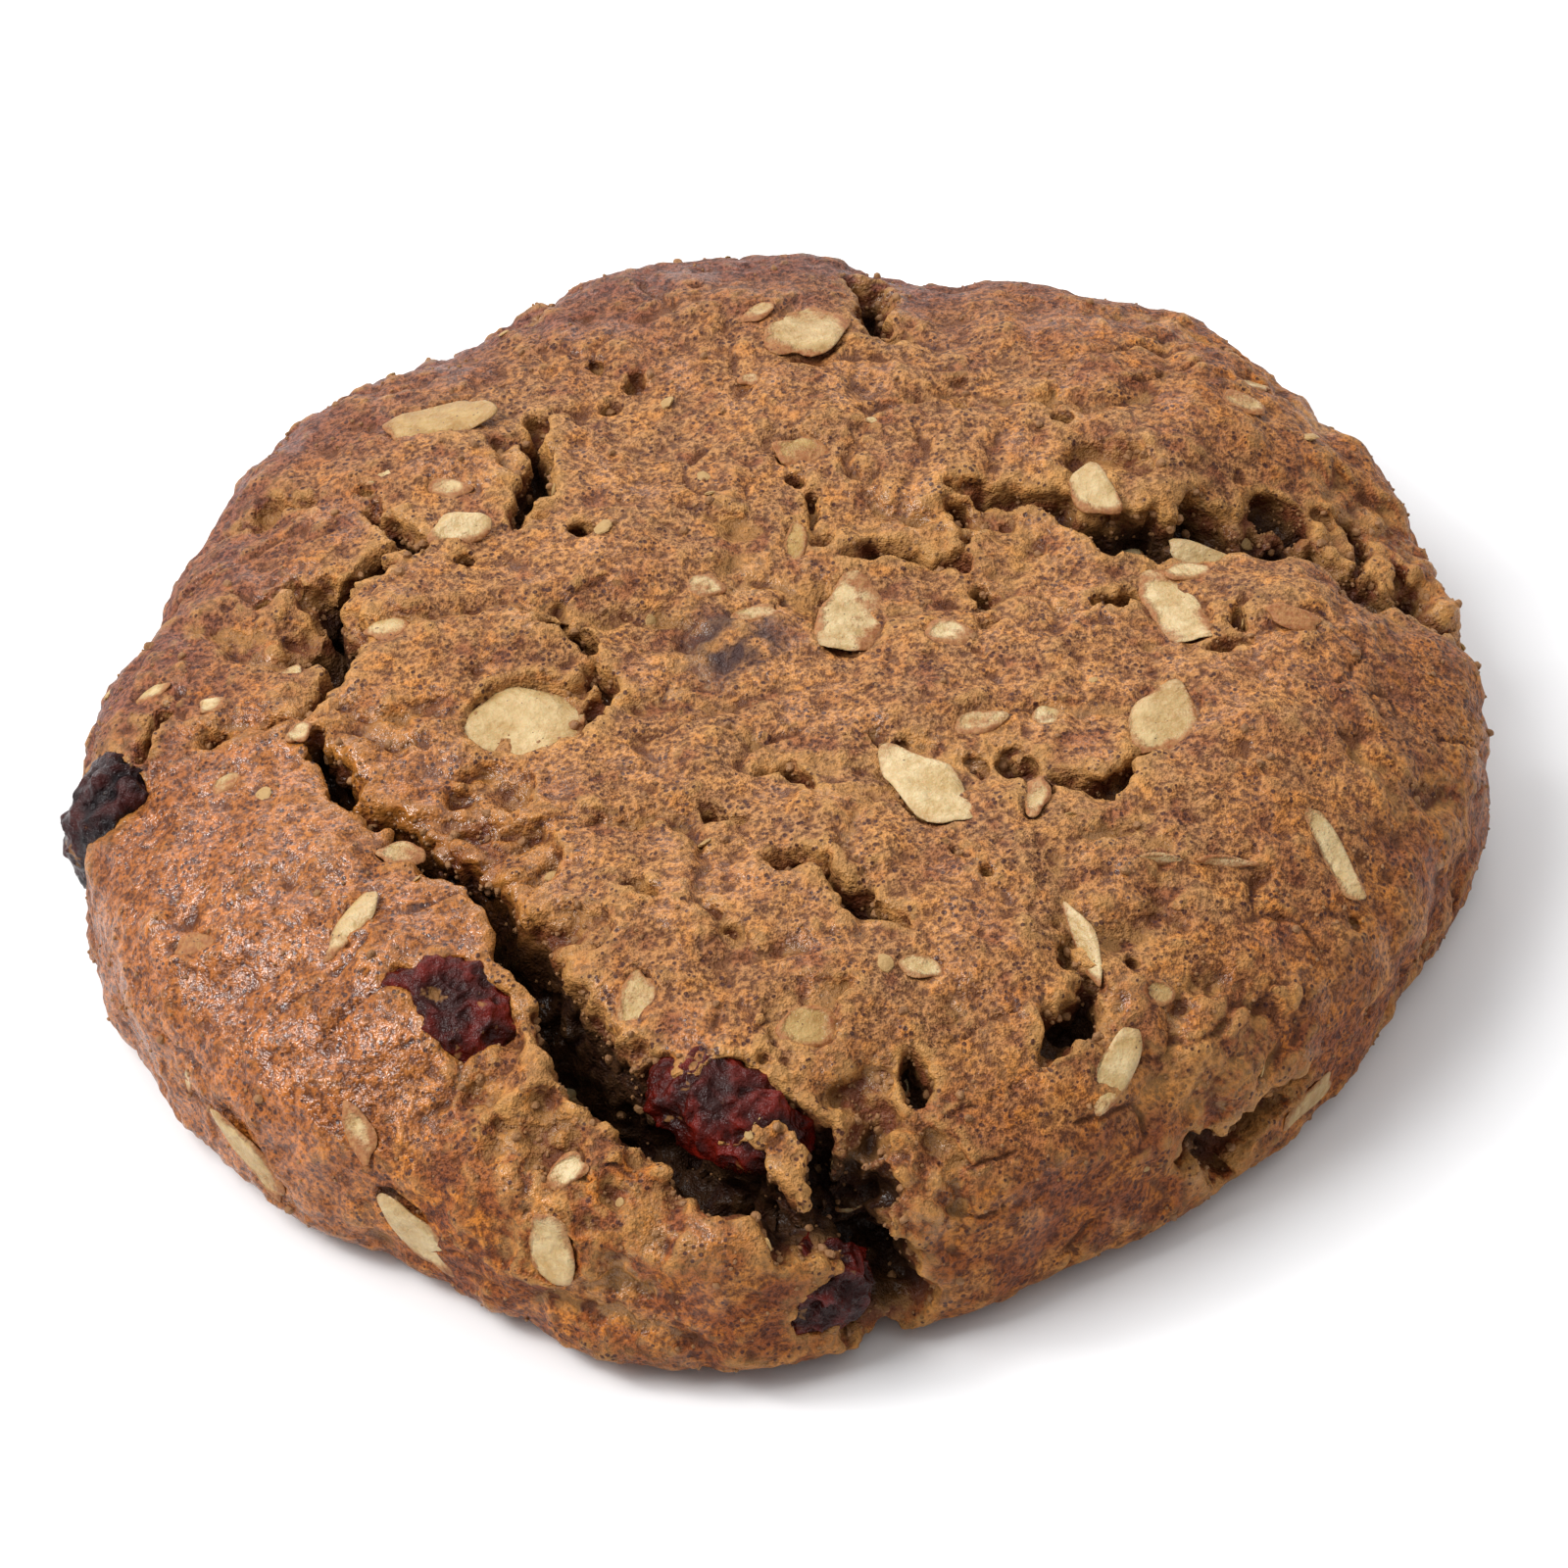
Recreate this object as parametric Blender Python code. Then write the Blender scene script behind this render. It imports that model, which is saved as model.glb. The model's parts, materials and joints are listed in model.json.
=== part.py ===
"""An oatmeal cookie with dried fruit, as it comes off the baking tray.

The dough is one solid: a low round lump with an uneven rim, a flat underside, a top that has
cracked open as it rose, and the largest rolled oats fused into its crust. Each dried fruit is
its own solid, held in a pocket of the dough with a small gap all round.

Frame: +Z up, origin at the middle of the underside. Lengths are millimetres, turned into
metres where the meshes are made.
"""

from typing import NamedTuple

import bmesh
import bpy
import numpy as np
from mathutils import Vector

MM = 0.001

# The lump of dough before it cracks
THICKNESS = 17.6
WAIST_HEIGHT = 7.0  # height at which the side reaches its full radius
SHOULDER_POWER = 3.1  # superellipse power of the rounded shoulder
FOOT_POWER = 8.0  # and of the tighter curve at the foot
FOOT_FLAT = 0.12  # how much of the foot's curve is pressed flat on the tray
TOP_SHARE = 0.70  # share of the mesh's rows above the waist
MIDDLE = np.array([0.05, 0.93, 0.0])  # middle of the finished outline, seen from the rim's centre

# Radius of the rim every 15 degrees, counted from +X towards +Y
RIM_RADII = (
    42.7, 43.2, 44.2, 45.4, 46.8, 43.6, 45.0, 44.0,
    42.3, 42.2, 41.0, 39.8, 41.6, 42.8, 42.8, 42.4,
    41.6, 42.8, 42.4, 39.9, 38.6, 38.5, 39.2, 40.2,
)  # fmt: skip


class Mound(NamedTuple):
    """A lobe that rose more than the dough round it, or less: centre, radius and rise."""

    x: float
    y: float
    radius: float
    rise: float


MOUNDS = (
    Mound(24, 26, 11, 1.3),
    Mound(35, 21, 7, -1.2),
    Mound(29, 16, 5, -1.2),
    Mound(39, 15, 6, -2.2),
    Mound(31, -3, 8, 1.7),
    Mound(32, 6, 5, 0.8),
    Mound(-32, -28, 8, -1.8),
    Mound(-19, -38, 8, -1.8),
    Mound(25, -14, 9, 0.7),
    Mound(0, 33, 9, 0.8),
    Mound(-26, -20, 8, 0.8),
    Mound(-29, 4, 6, -0.8),
    Mound(-22, 20, 8, 0.5),
    Mound(-3, 0, 12, -0.6),
    Mound(9, -27, 9, 0.5),
    Mound(-6, -40, 7, -1.8),
    Mound(3, -36, 5, -1.2),
)


class Crack(NamedTuple):
    """One break in the crust.

    path: (x, y, half width, depth) along it, on top of the cookie, or for a break in the side
    (azimuth in degrees, height, half width, depth).
    """

    path: tuple
    on_side: bool = False


CRACKS = (
    # The long canyon between the left lobe and the middle, which runs out at the front rim
    Crack((
        (-26, 17.5, 0.4, 1.5), (-24, 14, 0.7, 3.5), (-22.6, 10.6, 1.1, 4.0),
        (-25.5, 8.5, 0.7, 3.0), (-27.4, 6, 0.8, 3.5), (-27.2, 2.5, 1.0, 4.0),
        (-26.6, 0, 1.1, 4.5), (-28.6, -3.5, 0.7, 3.0), (-26.2, -8.4, 1.1, 5.5),
        (-26, -11.5, 0.9, 4.0), (-22, -16.2, 1.0, 5.0), (-19.6, -19, 1.4, 6.5),
        (-15.4, -24, 1.7, 6.5), (-12.6, -30, 1.7, 6.5), (-9.4, -34, 1.8, 8.5),
        (-5.6, -37.6, 1.2, 6.0), (-1.4, -40, 1.4, 6.5), (3.2, -41.2, 1.7, 8.0),
    )),
    # Round the other side of the front fruit, down into the same notch
    Crack((
        (-1.4, -31, 0.5, 3.0), (-0.2, -34, 0.8, 5.0), (2.4, -36.2, 1.1, 6.5),
        (1.8, -39, 0.8, 5.0), (3.4, -41.4, 1.3, 7.0),
    )),
    # The notch itself, open from the top to the tray
    Crack(((276, 13, 1.6, 8), (277, 8, 2.0, 8), (277.5, 3, 2.3, 7), (278, 0, 2.3, 6)), True),
    # The wide tear on the right, which opens towards the rim
    Crack((
        (10.6, 15.4, 0.6, 2.0), (13.4, 15, 0.7, 2.2), (16.8, 13.8, 0.8, 3.0),
        (19.4, 11.2, 1.3, 4.6), (24, 11.9, 1.9, 4.0), (29, 12.4, 2.0, 3.6),
        (34, 12.8, 2.2, 3.4), (38.6, 11.4, 2.0, 3.4), (41, 9.6, 1.6, 3.0),
    )),
    Crack(((14, 12.5, 1.8, 2.8), (13, 8, 1.7, 2.6), (12, 4, 1.3, 2.0)), True),
    # Breaks in the upper left
    Crack((
        (-14.8, 22.4, 0.5, 2.0), (-15.2, 20, 1.0, 3.6), (-14.8, 17.6, 0.8, 3.0),
        (-15.8, 15.4, 1.0, 3.4), (-15.6, 12.6, 0.6, 2.0),
    )),
    Crack(((-11.8, 12, 0.7, 2.4), (-11.2, 9.6, 0.4, 1.2))),
    Crack(((-14, 30, 0.4, 1.2), (-12, 28.4, 0.5, 1.4), (-10.6, 26, 0.4, 1.2))),
    Crack(((-36, 15.2, 0.5, 1.4), (-31.6, 17, 0.6, 1.6), (-28.6, 16.4, 0.5, 1.4))),
    Crack(((-32.6, 7.4, 0.4, 1.2), (-29.6, 8, 0.5, 1.6), (-27.4, 7.4, 0.5, 2.0))),
    # Beside the broad flake, left of the middle
    Crack((
        (-14.4, 3.2, 0.6, 1.8), (-12.4, 1.8, 0.5, 1.6), (-11.6, -1.6, 0.4, 1.4),
        (-12.4, -6.6, 0.35, 1.0),
    )),
    # Breaks at the back and in the middle
    Crack(((5.9, 38, 0.8, 2.4), (5.8, 34.4, 0.9, 2.8), (5.4, 31, 0.5, 1.6))),
    Crack(((11, 24.6, 0.35, 0.9), (11.4, 21, 0.4, 1.0), (10.6, 17.4, 0.35, 1.0))),
    Crack(((0.6, 18.6, 0.35, 1.0), (1.2, 14.6, 0.45, 1.2), (3, 9, 0.5, 1.4), (7, 9.8, 0.6, 1.6))),
    Crack(((7, 9.8, 0.5, 1.2), (10.4, 9.2, 0.5, 1.2), (11.6, 6, 0.4, 1.0), (12.2, 1, 0.35, 0.9))),
    Crack(((11, 13.4, 0.7, 2.2), (11, 11, 0.5, 1.4))),
    Crack(((15.6, 5.4, 0.35, 0.9), (18, 4.2, 0.4, 1.1), (20.6, 6, 0.5, 1.4))),
    Crack(((24.6, 1, 0.4, 1.0), (26.6, 1.2, 0.4, 1.1), (27.4, 5.6, 0.35, 1.0))),
    Crack(((-2.2, -8.8, 0.4, 1.1), (0.2, -9, 0.5, 1.3), (2, -10.8, 0.4, 1.1), (3.6, -13, 0.4, 1.0))),
    Crack(((0.2, -17.4, 0.8, 2.4), (2.6, -18.6, 0.7, 2.2), (4.6, -20.4, 0.8, 2.4), (6.8, -22.2, 0.5, 1.4))),
    Crack(((-8.2, -18.8, 0.35, 1.0), (-7, -21.6, 0.5, 1.3))),
    Crack(((12.6, -8.8, 0.5, 1.3), (14.6, -10.4, 0.6, 1.4), (18.6, -11, 0.8, 2.0), (21, -8.8, 0.6, 1.6))),
    Crack(((14.6, -10.4, 0.4, 1.0), (15.7, -13.8, 0.4, 1.0))),
    # Holes on the right and at the front
    Crack(((15.8, -20.6, 0.5, 1.4), (17.2, -25.4, 0.5, 1.4), (16.4, -28, 1.1, 4.0), (15, -31, 0.6, 2.0))),
    Crack(((19.4, -24.2, 0.6, 1.8), (20.4, -24.6, 0.5, 1.4))),
    Crack(((8, -31.6, 0.8, 4.0), (8.1, -33.2, 0.8, 4.0))),
    Crack(((25.4, -25.4, 0.35, 0.9), (26.8, -28.6, 0.4, 1.0))),
    # The shelf break low on the right of the front, under an overhanging lip
    Crack(((306, 7.5, 0.8, 2.0), (312, 6, 1.4, 4.0), (318, 6.5, 1.3, 3.5), (324, 8, 0.8, 2.0)), True),
    Crack(((312, 6, 1.0, 3.0), (311, 3, 1.3, 3.5), (311, 0, 1.2, 3.0)), True),
)  # fmt: skip

# How a crack's wall runs: from its floor, out under the lip, to the crust. Each row is the
# place across the wall, the sideways push there, and the share of the depth, as shares of WALL_BAND.
WALL_SECTION = ((-1.0, 0.75, 1.0), (-0.35, 0.45, 0.6), (0.15, -0.05, 0.08), (0.6, 0.0, 0.0))
WALL_SHARE = 0.6
WALL_BAND = 1.4


class Flake(NamedTuple):
    """A rolled oat: place, length, width, turn from +X in degrees, thickness and lift."""

    x: float
    y: float
    length: float
    width: float
    turn: float
    thickness: float = 0.9
    on_side: bool = False


FLAKES = (
    Flake(-15.4, -4.6, 7.4, 6.0, 20),
    Flake(4.2, 4.2, 7.6, 4.4, 82),
    Flake(8.3, -11.2, 7.8, 4.2, -58),
    Flake(1.4, 30.6, 7.0, 5.0, 80),
    Flake(-21.2, 22.6, 7.0, 3.8, 8),
    Flake(-19.6, 11.4, 4.0, 2.4, 8),
    Flake(1.2, 18.6, 3.6, 2.8, 5),
    Flake(23.4, 5.2, 7.6, 3.8, 112),
    Flake(22.3, -5.6, 6.0, 4.2, 62),
    Flake(11.4, -5.6, 3.4, 2.2, 15),
    Flake(32.0, -14.2, 6.6, 1.9, -60),
    Flake(17.2, -23.2, 5.2, 1.5, -72),
    Flake(18.6, -30.6, 5.6, 2.3, 64),
    Flake(7.8, -25.6, 3.0, 1.8, -10),
    Flake(1.4, -30.0, 3.8, 2.8, 10),
    Flake(-8.3, -27.6, 3.8, 2.4, 80),
    Flake(-17.0, -18.6, 5.0, 3.4, -60),
    Flake(-22.0, -15.6, 3.0, 2.0, 20),
    Flake(-24.8, -21.4, 4.6, 1.7, 50),
    Flake(28.0, 24.2, 3.4, 2.0, -20),
    Flake(18.8, 14.6, 4.4, 2.6, -60),
    Flake(-23.7, 3.4, 3.0, 1.9, 0),
    Flake(224, 5.4, 6.4, 2.8, -38, 0.9, True),
    Flake(240, 5.6, 6.4, 3.2, -48, 0.9, True),
    Flake(252, 9.6, 4.4, 3.2, -70, 0.9, True),
    Flake(322, 4.0, 4.6, 2.2, 15, 0.9, True),
)
FLAKE_SIDES = 10
FLAKE_SINK = 0.15  # depth of a flake's middle plane under the crust
FLAKE_RISE = 0.2  # how far the middle of a flake's upper face stands above its edge


class Fruit(NamedTuple):
    """A dried cranberry or raisin: place, how deep its middle lies, half lengths and turn."""

    name: str
    x: float
    y: float
    sink: float
    half: tuple
    turn: float
    colour: tuple
    on_side: bool = False


RAISIN_COLOUR = (0.020, 0.010, 0.012, 1.0)
CRANBERRY_COLOUR = (0.085, 0.008, 0.010, 1.0)
FRUITS = (
    Fruit("raisin_rim", 188, 9.6, 2.1, (4.8, 3.5, 2.8), 75, RAISIN_COLOUR, True),
    Fruit("raisin_crack", -22.4, 11.4, 3.7, (2.6, 1.9, 1.7), -60, RAISIN_COLOUR),
    Fruit("cranberry_lobe", -19.0, -27.0, 1.3, (4.4, 2.9, 2.1), -35, CRANBERRY_COLOUR),
    Fruit("cranberry_front", -3.2, -34.0, 1.6, (5.0, 2.9, 2.3), -28, CRANBERRY_COLOUR),
    Fruit("cranberry_notch", 273, 6.0, 1.8, (3.3, 2.7, 2.2), 40, CRANBERRY_COLOUR, True),
)
FRUIT_GAP = 0.45
FRUIT_FOLD = 0.30  # depth of the folds in a fruit's skin
FRUIT_FOLD_LENGTH = 2.6

# Uneven rise of the crust: the length and height of the swellings in it
SWELLINGS = ((16.0, 0.55), (6.0, 0.45), (2.8, 0.28))
ROUGH_FLOOR = 0.5  # extra unevenness of the crumb inside a crack
RAGGED = ((3.4, 0.85), (1.7, 0.25))  # length and reach of the wander of a crack's edge

DOUGH_COLOUR = (0.33, 0.155, 0.062, 1.0)
DOUGH_TRIANGLES = 6900
SEED = 20


class Noise:
    """Smooth random values from -1 to 1 in space, the same on each run."""

    CELLS = 32  # the pattern repeats after this many cells

    def __init__(self, seed):
        self.values = np.random.default_rng(seed).uniform(-1, 1, (self.CELLS,) * 3)

    def __call__(self, points, length):
        places = points / length
        corner = np.floor(places)
        share = places - corner
        share = share**3 * (share * (share * 6 - 15) + 10)
        low = corner.astype(int) % self.CELLS
        high = (low + 1) % self.CELLS
        total = 0.0
        for steps in np.ndindex(2, 2, 2):
            x, y, z = (np.where(step, high[:, k], low[:, k]) for k, step in enumerate(steps))
            weight = np.prod([share[:, k] if step else 1 - share[:, k] for k, step in enumerate(steps)], axis=0)
            total = total + weight * self.values[x, y, z]
        return total


def rim_radius(azimuth):
    """The rim's radius, on a smooth closed curve through RIM_RADII."""
    count = len(RIM_RADII)
    radii = np.array(RIM_RADII)
    place = np.mod(azimuth, 2 * np.pi) / (2 * np.pi) * count
    step = np.floor(place).astype(int)
    t = place - step
    before, start, end, after = (radii[(step + k) % count] for k in (-1, 0, 1, 2))
    slope_start = (end - before) / 2
    slope_end = (after - start) / 2
    return (
        start * (1 - 3 * t**2 + 2 * t**3)
        + end * (3 * t**2 - 2 * t**3)
        + slope_start * (t - 2 * t**2 + t**3)
        + slope_end * (t**3 - t**2)
    )


def make_profile():
    """The cookie's section from the middle of its top to the middle of its underside.

    Returns the place along it from 0 to 1, the share of the rim's radius, and the height.
    """
    turn = np.linspace(0, np.pi / 2, 240)
    share_top = np.sin(turn) ** (2 / SHOULDER_POWER)
    height_top = WAIST_HEIGHT + (THICKNESS - WAIST_HEIGHT) * np.cos(turn) ** (2 / SHOULDER_POWER)
    share_foot = np.cos(turn) ** (2 / FOOT_POWER)
    height_foot = WAIST_HEIGHT * (1 - np.sin(turn) ** (2 / FOOT_POWER))
    height_foot = np.maximum(height_foot - FOOT_FLAT, 0)
    mean_radius = float(np.mean(RIM_RADII))

    def along(share, height):
        return np.concatenate(([0.0], np.cumsum(np.hypot(np.diff(share * mean_radius), np.diff(height)))))

    top = along(share_top, height_top)
    foot = along(share_foot, height_foot)
    place = np.concatenate((top / top[-1] * TOP_SHARE, TOP_SHARE + foot[1:] / foot[-1] * (1 - TOP_SHARE)))
    return place, np.concatenate((share_top, share_foot[1:])), np.concatenate((height_top, height_foot[1:]))


PROFILE_PLACE, PROFILE_SHARE, PROFILE_HEIGHT = make_profile()
WAIST = int(np.argmax(PROFILE_SHARE))


def dough_surface(azimuth, place):
    """Points of the whole, uncracked dough."""
    share = np.interp(place, PROFILE_PLACE, PROFILE_SHARE)
    height = np.interp(place, PROFILE_PLACE, PROFILE_HEIGHT)
    radius = share * rim_radius(azimuth)
    points = np.stack((radius * np.cos(azimuth), radius * np.sin(azimuth), height), axis=-1)
    rise = np.zeros(len(points))
    for mound in MOUNDS:
        away = np.hypot(points[:, 0] - mound.x, points[:, 1] - mound.y) / mound.radius
        rise += mound.rise * np.exp(-(away**2))
    points[:, 2] += rise * (height / THICKNESS) ** 2
    return points


def spot(first, second, on_side):
    """(azimuth, place) of x and y on the top, or of an azimuth in degrees and a height on the side."""
    if on_side:
        return np.radians(first), np.interp(-second, -PROFILE_HEIGHT, PROFILE_PLACE)
    azimuth = np.arctan2(second, first)
    share = np.hypot(first, second) / rim_radius(azimuth)
    return azimuth, np.interp(share, PROFILE_SHARE[: WAIST + 1], PROFILE_PLACE[: WAIST + 1])


def frame_at(first, second, on_side, turn):
    """Where a topping lies on the dough: the point, and the directions along, across and out of it."""
    azimuth, place = spot(first, second, on_side)
    step = 1e-3
    point, round_it, down_it = dough_surface(
        np.array([azimuth, azimuth + step, azimuth]), np.array([place, place, place + step])
    )
    out = np.cross(down_it - point, round_it - point)
    out /= np.linalg.norm(out)
    level = round_it - point if on_side else np.array([1.0, 0.0, 0.0])
    level = level - out * (level @ out)
    level /= np.linalg.norm(level)
    upward = np.cross(out, level)
    angle = np.radians(turn)
    along = level * np.cos(angle) + upward * np.sin(angle)
    return point, np.stack((along, np.cross(out, along), out))


def to_frame(points):
    """Millimetres about the modelling centre, as metres about the origin."""
    return (points - MIDDLE) * MM


def new_object(name, points, faces):
    """A mesh object from points in millimetres."""
    mesh = bpy.data.meshes.new(name)
    mesh.from_pydata(to_frame(np.asarray(points)).tolist(), [], np.asarray(faces).tolist())
    made = bpy.data.objects.new(name, mesh)
    bpy.context.scene.collection.objects.link(made)
    return made


def ball(subdivisions):
    """Points and triangles of a unit sphere with no poles."""
    bm = bmesh.new()
    bmesh.ops.create_icosphere(bm, subdivisions=subdivisions, radius=1.0)
    points = np.array([v.co for v in bm.verts], float)
    faces = np.array([[v.index for v in f.verts] for f in bm.faces])
    bm.free()
    return points / np.linalg.norm(points, axis=1, keepdims=True), faces


def normals_of(points, faces):
    corners = points[faces]
    across = np.cross(corners[:, 1] - corners[:, 0], corners[:, 2] - corners[:, 0])
    total = np.zeros_like(points)
    for k in range(3):
        np.add.at(total, faces[:, k], across)
    return total / np.maximum(np.linalg.norm(total, axis=1, keepdims=True), 1e-9)


def open_crack(crack, points, ragged, push, depth):
    """Adds one crack's sideways push and depth at each point of the dough."""
    stations = np.array([row[:2] for row in crack.path], float)
    line = np.concatenate([dough_surface(*map(np.atleast_1d, spot(a, b, crack.on_side))) for a, b in stations])
    size = np.array([row[2:] for row in crack.path], float)
    reach = 2.5 * size[:, 0].max() + 2
    near = np.flatnonzero(((ragged > line.min(0) - reach) & (ragged < line.max(0) + reach)).all(1))
    nearest = np.full(len(near), np.inf)
    offset = np.zeros((len(near), 3))
    here = np.ones((len(near), 2))
    for k in range(len(line) - 1):
        step = line[k + 1] - line[k]
        t = np.clip((ragged[near] - line[k]) @ step / (step @ step), 0, 1)
        away = ragged[near] - (line[k] + t[:, None] * step)
        distance = np.linalg.norm(away, axis=1)
        closer = distance < nearest
        nearest[closer] = distance[closer]
        offset[closer] = away[closer]
        here[closer] = (size[k] + t[:, None] * (size[k + 1] - size[k]))[closer]
    half_width, deep = here.T
    band = np.minimum(WALL_SHARE * half_width, WALL_BAND)
    place = (nearest - half_width) / band
    section = np.array(WALL_SECTION)
    sideways = np.interp(place, section[:, 0], section[:, 1]) * band
    sideways *= np.clip(nearest / np.maximum(half_width - band, 1e-6), 0, 1)
    push[near] += offset / np.maximum(nearest, 1e-6)[:, None] * sideways[:, None]
    share = np.interp(place, section[:, 0], section[:, 2])
    depth[near] = np.maximum(depth[near], deep * share)


def make_dough():
    """The lump with its swellings and cracks, thinned to the triangles that its shape needs."""
    directions, faces = ball(8)
    azimuth = np.arctan2(directions[:, 1], directions[:, 0])
    place = np.arccos(np.clip(directions[:, 2], -1, 1)) / np.pi
    points = dough_surface(azimuth, place)
    outward = normals_of(points, faces)
    noise = Noise(SEED)
    ragged = points.copy()
    for length, wander in RAGGED:
        for axis in range(3):
            ragged[:, axis] += wander * noise(points + 40 * (axis + 1), length)
    push = np.zeros_like(points)
    depth = np.zeros(len(points))
    for crack in CRACKS:
        open_crack(crack, points, ragged, push, depth)
    push -= outward * np.sum(push * outward, axis=1, keepdims=True)
    lift = sum(height * noise(points + 9, length) for length, height in SWELLINGS)
    lift += ROUGH_FLOOR * noise(points + 5, 2.0) * np.clip(depth / 3, 0, 1)
    off_tray = np.clip(points[:, 2] / 3, 0, 1)
    points = points + (push + outward * (lift - depth)[:, None]) * off_tray[:, None]
    points[:, 2] = np.maximum(points[:, 2], 0)
    dough = new_object("dough", points, faces)
    thin = dough.modifiers.new("thin", "DECIMATE")
    thin.ratio = DOUGH_TRIANGLES / len(faces)
    return dough


def make_flake(flake, index, dough):
    """An oval plate with a raised middle and a wavy edge, lying in the crust almost flush."""
    centre, axes = frame_at(flake.x, flake.y, flake.on_side, flake.turn)
    met, crust, _, _ = dough.ray_cast(Vector(to_frame(centre + 8 * axes[2])), Vector(-axes[2]))
    if met:
        centre = np.array(crust) / MM + MIDDLE - axes[2] * FLAKE_SINK
    turns = np.arange(FLAKE_SIDES) / FLAKE_SIDES * 2 * np.pi
    uneven = 1 + 0.09 * np.sin(2 * turns + index) + 0.05 * np.sin(3 * turns + 2 * index)
    oval = np.stack((np.cos(turns) * flake.length / 2, np.sin(turns) * flake.width / 2), axis=-1) * uneven[:, None]
    half = flake.thickness / 2
    rings = [(0.78, half), (1.0, 0.0), (0.78, -half)]
    rows = [np.column_stack((oval * share, np.full(FLAKE_SIDES, height))) for share, height in rings]
    local = np.concatenate([*rows, [[0, 0, half + FLAKE_RISE]], [[0, 0, -half]]])
    top, bottom = len(local) - 2, len(local) - 1
    faces = []
    for k in range(FLAKE_SIDES):
        after = (k + 1) % FLAKE_SIDES
        faces.append((top, k, after))
        faces.append((bottom, 2 * FLAKE_SIDES + after, 2 * FLAKE_SIDES + k))
        for ring in (0, FLAKE_SIDES):
            faces.append((ring + k, ring + FLAKE_SIDES + k, ring + FLAKE_SIDES + after))
            faces.append((ring + k, ring + FLAKE_SIDES + after, ring + after))
    return new_object(f"flake_{index}", centre + local @ axes, faces)


def fruit_points(fruit, grown):
    """A fruit's wrinkled skin, grown outwards by a clearance where that is asked for."""
    directions, faces = ball(3)
    centre, axes = frame_at(fruit.x, fruit.y, fruit.on_side, fruit.turn)
    centre = centre - axes[2] * fruit.sink
    half = np.array(fruit.half)
    local = directions * half
    folds = 1 - 2 * np.abs(Noise(SEED + len(fruit.name))(local + fruit.x, FRUIT_FOLD_LENGTH))
    skin = local + directions * (folds * FRUIT_FOLD + grown)[:, None]
    return centre + skin @ axes, faces


def finish(obj, colour, roughness):
    """Smooth shading and a plain material of the food's own colour."""
    material = bpy.data.materials.new(obj.name)
    material.use_nodes = True
    shader = material.node_tree.nodes["Principled BSDF"]
    shader.inputs["Base Color"].default_value = colour
    shader.inputs["Roughness"].default_value = roughness
    shader.inputs["Metallic"].default_value = 0.0
    obj.data.materials.clear()
    obj.data.materials.append(material)
    obj.data.shade_smooth()


def combine(dough, tools, operation):
    """Cuts the tools from the dough, or joins them to it, and removes them."""
    group = bpy.data.collections.new(operation.lower())
    bpy.context.scene.collection.children.link(group)
    for tool in tools:
        bpy.context.scene.collection.objects.unlink(tool)
        group.objects.link(tool)
    step = dough.modifiers.new(operation.lower(), "BOOLEAN")
    step.operation = operation
    step.operand_type = "COLLECTION"
    step.collection = group
    step.solver = "MANIFOLD"
    apply_modifiers(dough)
    for tool in tools:
        bpy.data.objects.remove(tool)
    bpy.data.collections.remove(group)


def apply_modifiers(obj):
    graph = bpy.context.evaluated_depsgraph_get()
    mesh = bpy.data.meshes.new_from_object(obj.evaluated_get(graph))
    obj.modifiers.clear()
    obj.data = mesh


def keep_largest(obj):
    """Drops loose scraps, and fills hollows that are sealed all round, by keeping the outer skin alone."""
    bm = bmesh.new()
    bm.from_mesh(obj.data)
    left = set(bm.verts)
    shells = []
    while left:
        shell = {left.pop()}
        front = list(shell)
        while front:
            for edge in front.pop().link_edges:
                for vert in edge.verts:
                    if vert in left:
                        left.discard(vert)
                        shell.add(vert)
                        front.append(vert)
        shells.append(shell)
    keep = max(shells, key=len)
    bmesh.ops.delete(bm, geom=[v for v in bm.verts if v not in keep], context="VERTS")
    bm.to_mesh(obj.data)
    bm.free()


def press_flat(obj):
    """Puts the underside exactly on the tray."""
    for vert in obj.data.vertices:
        if vert.co.z < FOOT_FLAT * MM:
            vert.co.z = 0.0


def main():
    for obj in list(bpy.data.objects):
        bpy.data.objects.remove(obj)
    dough = make_dough()
    apply_modifiers(dough)
    press_flat(dough)
    pockets = [new_object(f"pocket_{f.name}", *fruit_points(f, FRUIT_GAP)) for f in FRUITS]
    combine(dough, [make_flake(flake, k, dough) for k, flake in enumerate(FLAKES)], "UNION")
    combine(dough, pockets, "DIFFERENCE")
    keep_largest(dough)
    finish(dough, DOUGH_COLOUR, 0.65)
    for fruit in FRUITS:
        finish(new_object(fruit.name, *fruit_points(fruit, 0.0)), fruit.colour, 0.35)


main()
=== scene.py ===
# %% [markdown]
# # An oatmeal cookie with dried fruit
#
# The cookie is one lump of dough that cracked open as it rose. Rolled oats lie flush in its crust,
# and dried cranberries and raisins sit in pockets. Each is a piece of its own here. The dough is
# moulded by plain formulas from a ball, so that every lobe and crack stays a named value.

import json
import math
from typing import NamedTuple

import bmesh
import bpy
import numpy as np
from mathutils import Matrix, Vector
from mathutils.bvhtree import BVHTree

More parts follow.
